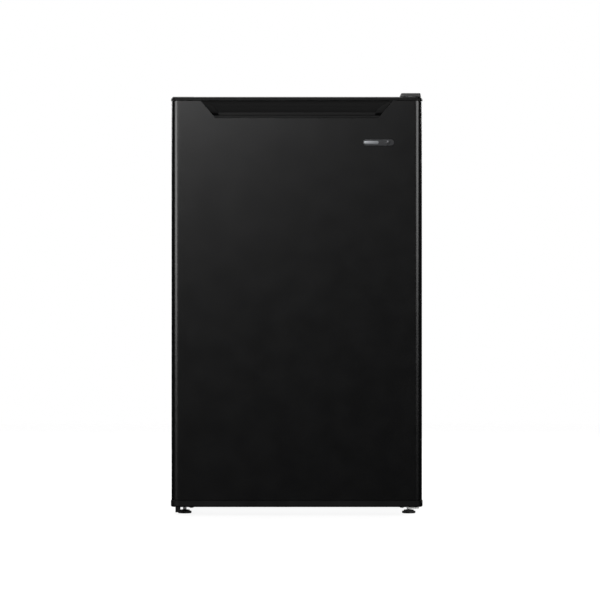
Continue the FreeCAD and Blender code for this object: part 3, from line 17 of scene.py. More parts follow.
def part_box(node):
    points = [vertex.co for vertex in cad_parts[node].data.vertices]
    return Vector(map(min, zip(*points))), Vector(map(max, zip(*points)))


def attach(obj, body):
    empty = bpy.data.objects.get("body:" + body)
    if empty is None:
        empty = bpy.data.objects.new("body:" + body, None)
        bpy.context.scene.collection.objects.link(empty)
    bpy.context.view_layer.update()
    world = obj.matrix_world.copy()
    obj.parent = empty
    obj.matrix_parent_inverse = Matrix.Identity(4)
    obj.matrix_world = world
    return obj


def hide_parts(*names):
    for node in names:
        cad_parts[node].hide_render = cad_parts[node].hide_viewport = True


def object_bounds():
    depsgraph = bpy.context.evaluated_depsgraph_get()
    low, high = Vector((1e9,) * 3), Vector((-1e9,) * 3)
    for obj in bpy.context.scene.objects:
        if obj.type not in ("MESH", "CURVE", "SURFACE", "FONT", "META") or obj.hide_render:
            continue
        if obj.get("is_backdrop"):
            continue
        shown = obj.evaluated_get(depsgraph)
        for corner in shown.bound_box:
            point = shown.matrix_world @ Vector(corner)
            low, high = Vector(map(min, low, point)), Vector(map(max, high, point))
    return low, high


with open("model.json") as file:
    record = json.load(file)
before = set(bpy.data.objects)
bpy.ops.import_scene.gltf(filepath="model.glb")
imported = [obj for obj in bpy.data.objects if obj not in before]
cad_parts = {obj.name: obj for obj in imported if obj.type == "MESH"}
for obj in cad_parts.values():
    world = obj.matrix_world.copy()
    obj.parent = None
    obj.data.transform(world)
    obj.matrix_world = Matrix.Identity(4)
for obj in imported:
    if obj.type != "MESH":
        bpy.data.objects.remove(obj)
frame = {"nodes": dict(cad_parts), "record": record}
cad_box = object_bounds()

scene = bpy.context.scene
scene.view_settings.view_transform = "Standard"
MM = 0.001

# %% [markdown]
# ## Camera
# A catalogue picture of a refrigerator is taken from far away with a long lens, square to the
# door, at half its height, so that no side shows and the upright edges stay parallel.
# A tilted or shifted lens would do the same; a level camera at that height needs neither.

# %% Camera
middle = (cad_box[0] + cad_box[1]) / 2
camera = bpy.data.objects.new("camera", bpy.data.cameras.new("camera"))
camera.data.sensor_width = 36.0
camera.data.lens = 180.8
camera.data.clip_end = 60.0
camera.location = (0.0065, cad_box[0].y - 6.0, 0.430)
camera.rotation_euler = (math.radians(90), 0, 0)
scene.collection.objects.link(camera)
scene.camera = camera
print("camera", round(-camera.location.y, 3), "m in front,",
      round(middle.z - camera.location.z, 3), "m under the middle")

# %% [markdown]
# ## Helpers for node trees
# A material and a Geometry Nodes tree are built the same way: add a node, set some of its
# sockets, and plug others into nodes that are already there. One helper does all three, so each
# recipe below reads from its source to its result. Coordinates are always the piece's own.

# %% Node helpers
def node(tree, kind, inputs=None, **settings):
    """Adds a node, sets its options, and sets or links its inputs."""
    made = tree.nodes.new(kind)
    for key, value in settings.items():
        setattr(made, key, value)
    for key, value in (inputs or {}).items():
        if isinstance(value, bpy.types.NodeSocket):
            tree.links.new(value, made.inputs[key])
        else:
            made.inputs[key].default_value = value
    return made


def place(tree, stretch=(1, 1, 1), turn=(0, 0, 0)):
    """The piece's own coordinates, stretched or turned."""
    where = node(tree, "ShaderNodeTexCoord").outputs["Object"]
    return node(tree, "ShaderNodeMapping",
                {"Vector": where, "Scale": stretch, "Rotation": turn}).outputs["Vector"]


def clouds(tree, size, detail=3.0, stretch=(1, 1, 1)):
    """Soft random patches about size metres across."""
    inputs = {"Vector": place(tree, stretch), "Scale": 1 / size, "Detail": detail}
    return node(tree, "ShaderNodeTexNoise", inputs).outputs["Fac"]


def cells(tree, size, feature="F1", stretch=(1, 1, 1)):
    """A pattern of rounded cells about size metres across."""
    inputs = {"Vector": place(tree, stretch), "Scale": 1 / size}
    return node(tree, "ShaderNodeTexVoronoi", inputs, feature=feature)


def between(tree, value, low, high, start=0.3, end=0.7):
    """Maps a pattern onto a range, such as a roughness."""
    inputs = {"Value": value, "From Min": start, "From Max": end, "To Min": low, "To Max": high}
    return node(tree, "ShaderNodeMapRange", inputs).outputs["Result"]


def blend(tree, value, first, second, start=0.35, end=0.65):
    """Maps a pattern onto a run of colour."""
    ramp = node(tree, "ShaderNodeValToRGB", {"Fac": value})
    ramp.color_ramp.elements[0].position, ramp.color_ramp.elements[0].color = start, (*first, 1)
    ramp.color_ramp.elements[1].position, ramp.color_ramp.elements[1].color = end, (*second, 1)
    return ramp.outputs["Color"]


def relief(tree, height, depth, under=None):
    """Turns a pattern into bumps that are depth metres high."""
    inputs = {"Height": height, "Distance": depth, "Strength": 1.0}
    if under is not None:
        inputs["Normal"] = under
    return node(tree, "ShaderNodeBump", inputs).outputs["Normal"]


def grey(value):
    return (value, value, value)


print("helpers ready")

# %% [markdown]
# ## Floor and backdrop
# The refrigerator stands on a plain white sweep. A floor that is only lit goes grey away from
# the lamps, so this one also glows a little, and it fades out at its rim into a world that the
# camera sees as white. Its underside is clear, so that the machine can be looked at from below.
# The world lights the object only dimly: a black door is a mirror, and bright surroundings would
# turn it grey.

# %% World and floor
world = bpy.data.worlds.new("studio")
scene.world = world
world.use_nodes = True
sky = world.node_tree
sky.nodes.clear()
dim = node(sky, "ShaderNodeBackground", {"Color": (0.85, 0.92, 1.0, 1), "Strength": 0.008})
white = node(sky, "ShaderNodeBackground", {"Color": (1, 1, 1, 1), "Strength": 1.0})
seen = node(sky, "ShaderNodeLightPath").outputs["Is Camera Ray"]
mixed = node(sky, "ShaderNodeMixShader", {0: seen, 1: dim.outputs[0], 2: white.outputs[0]})
node(sky, "ShaderNodeOutputWorld", {"Surface": mixed.outputs[0]})

floor_rim = 4.5
rim_points = 96
floor_mesh = bpy.data.meshes.new("floor")
angles = [n / rim_points * math.tau for n in range(rim_points)]
circle = [(floor_rim * math.cos(a), floor_rim * math.sin(a), 0.0) for a in angles]
floor_mesh.from_pydata(circle, [], [list(range(rim_points))])
floor = bpy.data.objects.new("floor", floor_mesh)
scene.collection.objects.link(floor)
paper = bpy.data.materials.new("white_sweep")
paper.use_nodes = True
tree = paper.node_tree
tree.nodes.clear()
lit = node(tree, "ShaderNodeBsdfDiffuse", {"Color": blend(tree, clouds(tree, 0.2), grey(0.20), grey(0.23))})
glow = node(tree, "ShaderNodeEmission", {"Color": (1, 1, 1, 1), "Strength": 0.88})
both = node(tree, "ShaderNodeAddShader", {0: lit.outputs[0], 1: glow.outputs[0]})
away = node(tree, "ShaderNodeVectorMath", {0: place(tree)}, operation="LENGTH").outputs["Value"]
fade = between(tree, away, 0.0, 1.0, 2.5, floor_rim * 0.97)
below = node(tree, "ShaderNodeNewGeometry").outputs["Backfacing"]
fade = node(tree, "ShaderNodeMath", {0: fade, 1: below}, operation="MAXIMUM").outputs[0]
clear = node(tree, "ShaderNodeBsdfTransparent")
faded = node(tree, "ShaderNodeMixShader", {0: fade, 1: both.outputs[0], 2: clear.outputs[0]})
node(tree, "ShaderNodeOutputMaterial", {"Surface": faded.outputs[0]})
floor_mesh.materials.append(paper)
floor.visible_glossy = False
floor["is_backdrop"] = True
print("floor", floor_rim * 2, "m across")

# %% [markdown]
# ## Lamps
# On a black door the lamps are what you see. One softbox stands up and to the left of the camera
# and falls off across the satin paint, bright at the upper left corner and black at the lower
# right. Two tall strips beside the door draw the bright lines down its rounded edges, and a box
# overhead and two behind are for the top and the back.

# %% Lamps
def softbox(name, at, aim, width, height, watts, warmth=0.0):
    """A rectangle of light that faces a point and can't be seen by the camera."""
    light = bpy.data.lights.new(name, "AREA")
    light.shape, light.size, light.size_y, light.energy = "RECTANGLE", width, height, watts
    light.color = (1.0, 1.0 - 0.5 * warmth, 1.0 - warmth)
    lamp = bpy.data.objects.new(name, light)
    lamp.location = at
    lamp.rotation_euler = (Vector(aim) - Vector(at)).to_track_quat("-Z", "Y").to_euler()
    lamp.visible_camera = False
    scene.collection.objects.link(lamp)
    return lamp


door_middle = (0.0, cad_box[0].y, middle.z)
softbox("key_softbox", (-1.03, -5.1, 2.16), door_middle, 0.9, 0.9, 92)
softbox("left_wall", (-2.25, -2.4, 1.08), (-0.25, -0.25, 0.60), 1.8, 1.4, 44)
softbox("right_wall", (2.25, -2.4, 1.26), (0.25, -0.25, 0.60), 1.8, 1.5, 38)
softbox("overhead", (0.0, 0.45, 2.7), (0.0, 0.1, 0.0), 2.2, 2.0, 60)
softbox("rear_left", (-2.2, 2.6, 1.7), (0.0, 0.2, 0.4), 1.4, 1.4, 55)
softbox("rear_right", (2.2, 2.6, 1.7), (0.0, 0.2, 0.4), 1.4, 1.4, 55)
print("6 softboxes")

# %% [markdown]
# ## Finishes
# Every piece names the finish it is made in, so a finish is made once and shared. Four recipes
# cover most of them: lacquer and moulded plastic, metal, see-through plastic and glass, and rolled
# sheet. What tells them apart is the small scale: how big the grain is, how deep, and how much the
# gloss wanders. Numbers that don't vary go straight on the shader.

# %% Recipe for lacquer, moulded plastic and rubber
finish = {}


def new_finish(name, **plain):
    """Starts a finish and sets the shader values that are the same all over."""
    material = bpy.data.materials.new(name)
    material.use_nodes = True
    shader = material.node_tree.nodes["Principled BSDF"]
    for key, value in plain.items():
        shader.inputs[key.replace("_", " ")].default_value = value
    finish[name] = material
    return material.node_tree, shader


def beyond(tree, axis, start, end):
    """Rises from 0 at start to 1 at end along one of the piece's own axes."""
    along = node(tree, "ShaderNodeSeparateXYZ", {0: place(tree)}).outputs[axis]
    return between(tree, along, 0.0, 1.0, start, end)


def covered(tree, shader, share, colour):
    """Covers a finish with a plain colour where share is 0, and leaves it as it was where it is 1."""
    own = shader.inputs["Base Color"].links[0].from_socket
    mix = node(tree, "ShaderNodeMix", {0: share, 6: (*colour, 1.0), 7: own}, data_type="RGBA")
    tree.links.new(mix.outputs[2], shader.inputs["Base Color"])


def moulded(name, first, second, gloss, grain, depth, patch=0.05, **plain):
    """Plastic, paint or rubber: two close colours in clouds, and a fine grain that is embossed."""
    tree, shader = new_finish(name, **plain)
    soft = clouds(tree, patch)
    tree.links.new(blend(tree, soft, first, second), shader.inputs["Base Color"])
    tree.links.new(between(tree, soft, gloss[0], gloss[1]), shader.inputs["Roughness"])
    tree.links.new(relief(tree, clouds(tree, grain, 2.0), depth), shader.inputs["Normal"])
    return tree, shader


def embossed(name, first, second, gloss, cell, depth, **plain):
    """The same with a leather-like embossing in place of the fine grain."""
    tree, shader = moulded(name, first, second, gloss, cell, depth, **plain)
    pattern = cells(tree, cell, "SMOOTH_F1").outputs["Distance"]
    tree.links.new(relief(tree, pattern, depth), shader.inputs["Normal"])
    return tree, shader


moulded("door_paint", (0.0010, 0.0010, 0.0011), (0.0015, 0.0015, 0.0016), (0.238, 0.252), 0.0035, 0.000003,
        0.05)
embossed("cabinet_paint", grey(0.0060), grey(0.0075), (0.40, 0.43), 0.0011, 0.00006)
embossed("worktop_plastic", grey(0.0088), grey(0.0104), (0.455, 0.490), 0.0007, 0.00005)
moulded("cap_plastic", grey(0.0020), grey(0.0030), (0.40, 0.46), 0.0006, 0.000004, Specular_IOR_Level=0.14)
moulded("hinge_cover_plastic", grey(0.014), grey(0.018), (0.36, 0.44), 0.0005, 0.00002)
moulded("liner_plastic", (0.80, 0.81, 0.80), (0.84, 0.85, 0.83), (0.18, 0.26), 0.006, 0.00002, 0.12)
moulded("white_plastic", (0.78, 0.78, 0.76), (0.83, 0.83, 0.81), (0.26, 0.36), 0.0008, 0.00001)
moulded("control_plastic", (0.74, 0.75, 0.76), (0.79, 0.80, 0.80), (0.34, 0.44), 0.0006, 0.00003)
moulded("gasket_rubber", grey(0.012), grey(0.020), (0.50, 0.62), 0.0012, 0.00003)
moulded("foot_plastic", grey(0.010), grey(0.018), (0.45, 0.60), 0.0007, 0.00004)
moulded("mount_rubber", grey(0.014), grey(0.026), (0.62, 0.75), 0.0009, 0.00006)
moulded("black_moulding", grey(0.010), grey(0.016), (0.36, 0.50), 0.0007, 0.00003)
moulded("drain_plastic", (0.30, 0.31, 0.32), (0.36, 0.37, 0.38), (0.35, 0.5), 0.001, 0.00003)
moulded("foam", (0.74, 0.62, 0.36), (0.83, 0.73, 0.50), (0.85, 0.95), 0.0012, 0.0003, 0.02)
moulded("compressor_paint", grey(0.008), grey(0.014), (0.24, 0.36), 0.0025, 0.00006, 0.03)
moulded("condenser_paint", grey(0.010), grey(0.018), (0.40, 0.52), 0.0010, 0.00003)
print(len(finish), "moulded and painted finishes")

# %% [markdown]
# ### The cap with the finger pocket
# The top cap is one black moulding. Its pocket is painted a lighter grey than its face: painted light for the
# light that falls into the scoop.
# The trough at the pocket's foot is painted near black: painted shade for the shadow in the groove. Three
# finishes on three meshes would show a seam. A ramp on the piece's own height changes the colour with none.

# %% Pocket finish
tree, shader = moulded("pocket_cap", grey(0.0018), grey(0.0026), (0.40, 0.46), 0.0006, 0.000004,
                       Specular_IOR_Level=0.14)
cap_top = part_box("door_top_cap")[1].z
# Painted light: below 11 mm under the cap's top, the pocket is painted lighter than the face.
covered(tree, shader, beyond(tree, "Z", cap_top - 11 * MM, cap_top - 7 * MM), grey(0.013))
# Painted shade: the trough at the pocket's foot is painted near black.
covered(tree, shader, beyond(tree, "Z", cap_top - 31.5 * MM, cap_top - 30.5 * MM), grey(0.001))
print("the pocket is lighter under", round(cap_top - 11 * MM, 4), "m")

# %% [markdown]
# ### Metals
# Zinc plate is cloudy and slightly blue, galvanised sheet shows the flat crystals of its bath as
# patches of different grey, brushed metal has fine lines one way, and copper tarnishes in clouds
# from pink to brown. Patches of gloss do more for a metal than patches of colour.

# %% Metals
def metal(name, first, second, gloss, patch, grain, depth, stretch=(1, 1, 1), **plain):
    """Bare metal: patches of two tones, and a grain that may be drawn out one way."""
    tree, shader = new_finish(name, **{"Metallic": 1.0, **plain})
    soft = clouds(tree, patch, 4.0)
    tree.links.new(blend(tree, soft, first, second), shader.inputs["Base Color"])
    fine = clouds(tree, grain, 3.0, stretch)
    tree.links.new(between(tree, fine, gloss[0], gloss[1]), shader.inputs["Roughness"])
    tree.links.new(relief(tree, fine, depth), shader.inputs["Normal"])
    return tree, shader


def spangled(name, first, second, gloss, crystal):
    """Hot-dip zinc: flat crystals with straight borders, each with its own tone and gloss."""
    tree, shader = new_finish(name, Metallic=1.0)
    flake = cells(tree, crystal).outputs["Color"]
    tone = node(tree, "ShaderNodeSeparateColor", {0: flake}).outputs[0]
    tree.links.new(blend(tree, tone, first, second, 0.0, 1.0), shader.inputs["Base Color"])
    tree.links.new(between(tree, tone, gloss[0], gloss[1], 0.0, 1.0), shader.inputs["Roughness"])
    tree.links.new(relief(tree, clouds(tree, crystal / 6), 0.00002), shader.inputs["Normal"])
    return tree, shader


metal("zinc_plate", (0.66, 0.67, 0.68), (0.76, 0.76, 0.74), (0.30, 0.44), 0.012, 0.0008, 0.00001,
      Metallic=0.25)
metal("screw_steel", (0.56, 0.56, 0.54), (0.70, 0.69, 0.64), (0.25, 0.40), 0.003, 0.0004, 0.00001)
spangled("galvanised_sheet", (0.52, 0.54, 0.55), (0.60, 0.62, 0.63), (0.40, 0.50), 0.0045)
spangled("back_sheet", (0.56, 0.58, 0.59), (0.63, 0.64, 0.65), (0.42, 0.50), 0.0035)
metal("evaporator_aluminium", (0.72, 0.73, 0.74), (0.80, 0.81, 0.82), (0.26, 0.42), 0.03, 0.0015, 0.00002,
      (0.05, 1, 1))
metal("chrome_wire", (0.74, 0.75, 0.77), (0.82, 0.83, 0.84), (0.06, 0.14), 0.02, 0.003, 0.000004)
metal("copper", (0.70, 0.28, 0.15), (0.86, 0.46, 0.30), (0.22, 0.42), 0.012, 0.0012, 0.00002)
metal("pump_iron", (0.22, 0.21, 0.20), (0.32, 0.30, 0.28), (0.5, 0.7), 0.01, 0.001, 0.0001)
metal("badge_metal", (0.050, 0.051, 0.053), (0.070, 0.071, 0.073), (0.28, 0.36), 0.03, 0.0006, 0.000006,
      (0.06, 1, 1))
metal("badge_inlay", (0.20, 0.21, 0.22), (0.26, 0.27, 0.28), (0.42, 0.54), 0.03, 0.0005, 0.000006,
      (0.06, 1, 1))
moulded("shelf_wire", (0.78, 0.79, 0.79), (0.83, 0.83, 0.82), (0.22, 0.32), 0.0012, 0.00002, 0.01)
print(len(finish), "finishes")

# %% [markdown]
# ### The base pan's painted front
# The pan is bare galvanised sheet underneath, and painted black where it shows as the sill under
# the open door. The paint ends in a line a few millimetres back, so a ramp along Y swaps the
# colour there and takes the metal away with it.

# %% Base pan finish
tree, shader = spangled("pan_coat", (0.52, 0.54, 0.55), (0.60, 0.62, 0.63), (0.40, 0.50), 0.0045)
pan_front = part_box("base_pan")[0].y
bare = beyond(tree, "Y", pan_front + 4 * MM, pan_front + 5 * MM)
covered(tree, shader, bare, grey(0.012))
tree.links.new(between(tree, bare, 0.0, 0.5, 0.0, 1.0), shader.inputs["Metallic"])
print("the pan is black as far back as", round(pan_front + 4 * MM, 4), "m")

# %% [markdown]
# ### Clear, frosted and tinted
# The crisper and the bins are clear polystyrene, slightly blue and scratched in use, the drip
# tray and the flap are frosted, and the lid is a green-edged pane. They differ in how rough their
# light passes, so the roughness carries the pattern and the colour stays almost white.

# %% See-through finishes
def clear_material(name, tint, second, gloss, patch, ior=1.49):
    """Plastic or glass that light passes, with soft patches of gloss and fine scratches."""
    tree, shader = new_finish(name, Transmission_Weight=1.0, IOR=ior)
    soft = clouds(tree, patch)
    tree.links.new(blend(tree, soft, tint, second), shader.inputs["Base Color"])
    tree.links.new(between(tree, soft, gloss[0], gloss[1]), shader.inputs["Roughness"])
    scratches = clouds(tree, 0.0015, 2.0, (1, 0.12, 1))
    tree.links.new(relief(tree, scratches, 0.000006), shader.inputs["Normal"])


clear_material("clear_plastic", (0.93, 0.96, 0.98), (0.88, 0.93, 0.96), (0.05, 0.14), 0.03)
clear_material("frosted_plastic", (0.88, 0.92, 0.94), (0.82, 0.87, 0.90), (0.42, 0.55), 0.02)
clear_material("lid_glass", (0.86, 0.95, 0.91), (0.82, 0.93, 0.89), (0.02, 0.05), 0.05, 1.52)
clear_material("lens_plastic", (0.93, 0.93, 0.90), (0.88, 0.88, 0.85), (0.22, 0.36), 0.006)
clear_material("bulb_glass", (0.96, 0.95, 0.92), (0.92, 0.90, 0.85), (0.10, 0.20), 0.01, 1.52)
print(len(finish), "finishes")

# %% [markdown]
# ### Hand the finishes out
# The record says which finish each CAD piece is made in, and two pieces have a finish of their own.
# The pieces keep their mesh, and only the material in their slot changes.

# %% Give each CAD piece its finish
own_finish = {"door_top_cap": "pocket_cap", "base_pan": "pan_coat"}
for part in frame["record"]["subparts"]:
    piece = frame["nodes"][part["node"]]
    piece.material_slots[0].material = finish[own_finish.get(part["node"], part["material_slot"])]
print(len(frame["nodes"]), "CAD pieces dressed")

# %% [markdown]
# ## Tools for making pieces
# A new piece ends as one plain mesh that sits at the origin, wears a finish, rides on a body and
# may stand for a CAD piece. `settle` does all of that in one place. Corners sharper than 35
# degrees stay sharp, so that a smooth surface needs few faces.

# %% Piece helpers
def settle(name, mesh, body, slot, stands_for=(), dress=None):
    """Makes a finished piece of a mesh: smooth, dressed, and riding on its body."""
    mesh.name = name
    mesh.shade_smooth()
    mesh.set_sharp_from_angle(angle=math.radians(35))
    piece = bpy.data.objects.new(name, mesh)
    scene.collection.objects.link(piece)
    if not mesh.materials:
        mesh.materials.append(finish[dress or slot])
    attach(piece, body)
    if stands_for:
        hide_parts(*stands_for)
    print(name, "rides on", body, "with", len(mesh.polygons), "faces")
    return piece


def sheet_of(name, points, faces):
    """A mesh of points and faces."""
    mesh = bpy.data.meshes.new(name)
    mesh.from_pydata([tuple(point) for point in points], [], faces)
    mesh.validate()
    return mesh


def new_tree(name, **sizes):
    """A geometry tree with one named input for each size, and its starting values."""
    tree = bpy.data.node_groups.new(name, "GeometryNodeTree")
    tree.interface.new_socket("Geometry", in_out="INPUT", socket_type="NodeSocketGeometry")
    kinds = {int: "NodeSocketInt", float: "NodeSocketFloat", tuple: "NodeSocketVector"}
    for label, value in sizes.items():
        kind = "NodeSocketMaterial" if value is None else kinds[type(value)]
        socket = tree.interface.new_socket(label.replace("_", " "), in_out="INPUT", socket_type=kind)
        if value is not None:
            socket.default_value = value
    tree.interface.new_socket("Geometry", in_out="OUTPUT", socket_type="NodeSocketGeometry")
    return tree, tree.nodes.new("NodeGroupInput").outputs


def close_tree(tree, geometry, material):
    """Ends a tree: instances become real faces, and the finish goes on."""
    real = node(tree, "GeometryNodeRealizeInstances", {0: geometry}).outputs[0]
    dressed = node(tree, "GeometryNodeSetMaterial", {"Geometry": real, "Material": material}).outputs[0]
    node(tree, "NodeGroupOutput", {0: dressed})


def grow(tree, slot, seeds=((0, 0, 0),), marks=None, **sizes):
    """Runs a tree on a few points and keeps the result as a plain mesh."""
    start = sheet_of("seeds", seeds, [])
    for label, values in (marks or {}).items():
        kind, field = ("FLOAT_VECTOR", "vector") if isinstance(values[0], tuple) else ("FLOAT", "value")
        layer = start.attributes.new(label, kind, "POINT")
        for n, value in enumerate(values):
            setattr(layer.data[n], field, value)
    carrier = bpy.data.objects.new("carrier", start)
    scene.collection.objects.link(carrier)
    modifier = carrier.modifiers.new("made", "NODES")
    modifier.node_group = tree
    sizes["Finish"] = finish[slot]
    for socket in tree.interface.items_tree:
        label = socket.name.replace(" ", "_")
        if socket.in_out == "INPUT" and label in sizes:
            modifier[socket.identifier] = sizes[label]
    bpy.context.view_layer.update()
    mesh = bpy.data.meshes.new_from_object(carrier.evaluated_get(bpy.context.evaluated_depsgraph_get()))
    carrier.modifiers.remove(modifier)
    bpy.data.objects.remove(carrier)
    return mesh


def math_of(tree, operation, first, second=0.0):
    return node(tree, "ShaderNodeMath", {0: first, 1: second}, operation=operation).outputs[0]


def vector_of(tree, x=0.0, y=0.0, z=0.0):
    return node(tree, "ShaderNodeCombineXYZ", {0: x, 1: y, 2: z}).outputs[0]


def shifted(tree, geometry, by):
    return node(tree, "GeometryNodeTransform", {"Geometry": geometry, "Translation": by}).outputs[0]


def merged(tree, *geometries):
    join = node(tree, "GeometryNodeJoinGeometry")
    for geometry in geometries:
        tree.links.new(geometry, join.inputs[0])
    return join.outputs[0]


def on_points(tree, points, piece, **more):
    """One copy of a piece on every point."""
    inputs = {"Points": points, "Instance": piece, **more}
    return node(tree, "GeometryNodeInstanceOnPoints", inputs).outputs[0]


def bar_along(tree, path, radius, around):
    """A bar with a round or many-sided section along a curve."""
    inputs = {"Resolution": around, "Radius": radius}
    ring = node(tree, "GeometryNodeCurvePrimitiveCircle", inputs, mode="RADIUS").outputs[0]
    inputs = {"Curve": path, "Profile Curve": ring, "Fill Caps": True}
    return node(tree, "GeometryNodeCurveToMesh", inputs)


print("piece helpers ready")

# %% [markdown]
# ## Screws
# The case is held with pan-head cross-recess screws. A head is a short cylinder whose top is cut
# by a large ball, with a cross sunk in it. The tree makes one head and one shank, and puts them on
# points that carry the direction and the scale of each screw. The points are read from the CAD
# screws: each loose part of that mesh is one screw, its long side is its axis, and its wide end
# is its head. The geometry is right already, so only what is seen up close is new.

# %% Find the screws
def loose_parts(node_name):
    """The separate bodies in a CAD mesh, as lists of points."""
    mesh = frame["nodes"][node_name].data
    spots, owner = {}, []
    for vertex in mesh.vertices:
        owner.append(spots.setdefault(tuple(round(c, 6) for c in vertex.co), len(spots)))
    parent = list(range(len(spots)))

    def top(n):
        while parent[n] != n:
            parent[n] = parent[parent[n]]
            n = parent[n]
        return n

    for edge in mesh.edges:
        first, second = top(owner[edge.vertices[0]]), top(owner[edge.vertices[1]])
        parent[first] = second
    groups = {}
    for spot, n in spots.items():
        groups.setdefault(top(n), []).append(Vector(spot))
    return sorted(groups.values(), key=lambda points: tuple(round(c, 4) for c in points[0]))


def screw_places(node_name):
    """Where each head sits on its plate, which way it faces, and its radius."""
    found = []
    for points in loose_parts(node_name):
        low = Vector([min(p[k] for p in points) for k in range(3)])
        high = Vector([max(p[k] for p in points) for k in range(3)])
        size = high - low
        axis = max(range(3), key=lambda k: size[k])
        centre = (low + high) / 2
        across = [k for k in range(3) if k != axis]
        radius = max(size[k] for k in across) / 2
        wide = [p[axis] for p in points
                if math.hypot(*(p[k] - centre[k] for k in across)) > radius * 0.9]
        face = Vector((0, 0, 0))
        face[axis] = 1.0 if sum(wide) / len(wide) > centre[axis] else -1.0
        seat = centre.copy()
        seat[axis] = min(wide) if face[axis] > 0 else max(wide)
        found.append((seat, face, radius))
    return found


places = screw_places("case_screws")
print(len(places), "screws, head radii", sorted({round(radius * 1000, 1) for _, _, radius in places}), "mm")

# %% Screw tree
tree, size = new_tree(
    "pan_head_screw", Head_radius=4.5 * MM, Head_height=2.2 * MM, Dome_radius=8.5 * MM,
    Cross_width=1.0 * MM, Cross_length=4.6 * MM, Cross_depth=1.3 * MM,
    Shank_radius=2.3 * MM, Shank_length=9.0 * MM, Finish=None)
disc = node(tree, "GeometryNodeMeshCylinder",
            {"Vertices": 28, "Radius": size["Head radius"], "Depth": size["Head height"]}).outputs["Mesh"]
half = math_of(tree, "MULTIPLY", size["Head height"], 0.5)
disc = shifted(tree, disc, vector_of(tree, z=half))
ball = node(tree, "GeometryNodeMeshUVSphere", {"Segments": 40, "Rings": 40, "Radius": size["Dome radius"]})
drop = math_of(tree, "SUBTRACT", size["Head height"], size["Dome radius"])
ball = shifted(tree, ball.outputs["Mesh"], vector_of(tree, z=drop))
head = node(tree, "GeometryNodeMeshBoolean", operation="INTERSECT", solver="EXACT")
tree.links.new(disc, head.inputs["Mesh 2"])
tree.links.new(ball, head.inputs["Mesh 2"])
sunk = math_of(tree, "SUBTRACT", size["Head height"], math_of(tree, "MULTIPLY", size["Cross depth"], 0.2))
bars = []
for along, across in (("Cross length", "Cross width"), ("Cross width", "Cross length")):
    deep = math_of(tree, "MULTIPLY", size["Cross depth"], 2.0)
    box = node(tree, "GeometryNodeMeshCube", {"Size": vector_of(tree, size[along], size[across], deep)})
    bars.append(shifted(tree, box.outputs["Mesh"], vector_of(tree, z=sunk)))
cut = node(tree, "GeometryNodeMeshBoolean", {"Mesh 1": head.outputs["Mesh"]},
           operation="DIFFERENCE", solver="EXACT")
for bar in bars:
    tree.links.new(bar, cut.inputs["Mesh 2"])
shank = node(tree, "GeometryNodeMeshCylinder",
             {"Vertices": 12, "Radius": size["Shank radius"], "Depth": size["Shank length"]}).outputs["Mesh"]
down = math_of(tree, "MULTIPLY", size["Shank length"], -0.5)
one = merged(tree, shifted(tree, shank, vector_of(tree, z=down)), cut.outputs["Mesh"])
facing, scale = (
    node(tree, "GeometryNodeInputNamedAttribute", {"Name": label}, data_type=kind).outputs["Attribute"]
    for label, kind in (("facing", "FLOAT_VECTOR"), ("scale", "FLOAT")))
turn = node(tree, "FunctionNodeAlignRotationToVector", {"Vector": facing}, axis="Z").outputs[0]
spin = node(tree, "FunctionNodeRandomValue", {"Min": 0.0, "Max": 1.5, "Seed": 7}, data_type="FLOAT")
angle = next(output for output in spin.outputs if output.type == "VALUE" and output.enabled)
about = node(tree, "FunctionNodeEulerToRotation", {0: vector_of(tree, z=angle)}).outputs[0]
spun = node(tree, "FunctionNodeRotateRotation", {"Rotation": turn, "Rotate By": about},
            rotation_space="LOCAL").outputs[0]
close_tree(tree, on_points(tree, size["Geometry"], one, Rotation=spun, Scale=scale), size["Finish"])
screw_tree = tree
print("screw tree with", len(tree.nodes), "nodes")

# %% Screws
seats, faces, radii = zip(*places)
marks = {"facing": [tuple(face) for face in faces], "scale": [radius / (4.5 * MM) for radius in radii]}
mesh = grow(screw_tree, "screw_steel", seats, marks)
settle("pan_head_screws", mesh, "cabinet", "screw_steel", ["case_screws"])

# %% [markdown]
# ## Levelling legs
# Each front leg is an M8 screw with a moulded foot. A thread is a rule: one turn climbs one pitch.
# A spiral curve swept with a three-sided profile gives the ridge, and a plain core fills it. A
# displaced cylinder would need far more faces for the same edge.

# %% Threaded stems
tree, size = new_tree("threaded_stem", Core_radius=3.35 * MM, Pitch=1.25 * MM, Ridge=0.42 * MM,
                      Length=38 * MM,
                      Foot=(0.0, 0.0, 0.0), Finish=None)
turns = math_of(tree, "DIVIDE", size["Length"], size["Pitch"])
helix_radius = math_of(tree, "ADD", size["Core radius"], math_of(tree, "MULTIPLY", size["Ridge"], 0.5))
helix = node(tree, "GeometryNodeCurveSpiral",
             {"Resolution": 20, "Rotations": turns, "Start Radius": helix_radius,
              "End Radius": helix_radius, "Height": size["Length"]})
thread = bar_along(tree, helix.outputs[0], size["Ridge"], 3).outputs[0]
core = node(tree, "GeometryNodeMeshCylinder",
            {"Vertices": 32, "Radius": size["Core radius"], "Depth": size["Length"]}).outputs["Mesh"]
core = shifted(tree, core, vector_of(tree, z=math_of(tree, "MULTIPLY", size["Length"], 0.5)))
close_tree(tree, shifted(tree, merged(tree, thread, core), size["Foot"]), size["Finish"])
stem_tree = tree

for side in ("left", "right"):
    low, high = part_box(side + "_leg_stem")
    foot = ((low.x + high.x) / 2, (low.y + high.y) / 2, low.z + 0.4 * MM)
    core_radius = (high.x - low.x) / 2 - 0.65 * MM
    mesh = grow(stem_tree, "zinc_plate", Foot=foot, Length=high.z - low.z - 0.8 * MM, Core_radius=core_radius)
    settle(side + "_threaded_stem", mesh, side + "_stem", "zinc_plate", [side + "_leg_stem"])

# %% [markdown]
# ## Door seal
# The seal is a hollow vinyl bellows with a flat lip at the cabinet and a cushion that holds the
# magnet. It is cut from a long extrusion and welded into a frame, so its corners are mitred. Curve
# tools pinch a profile at such corners, so the section is simply set out at each of the four
# corners, moved in by its own inset, and skinned.

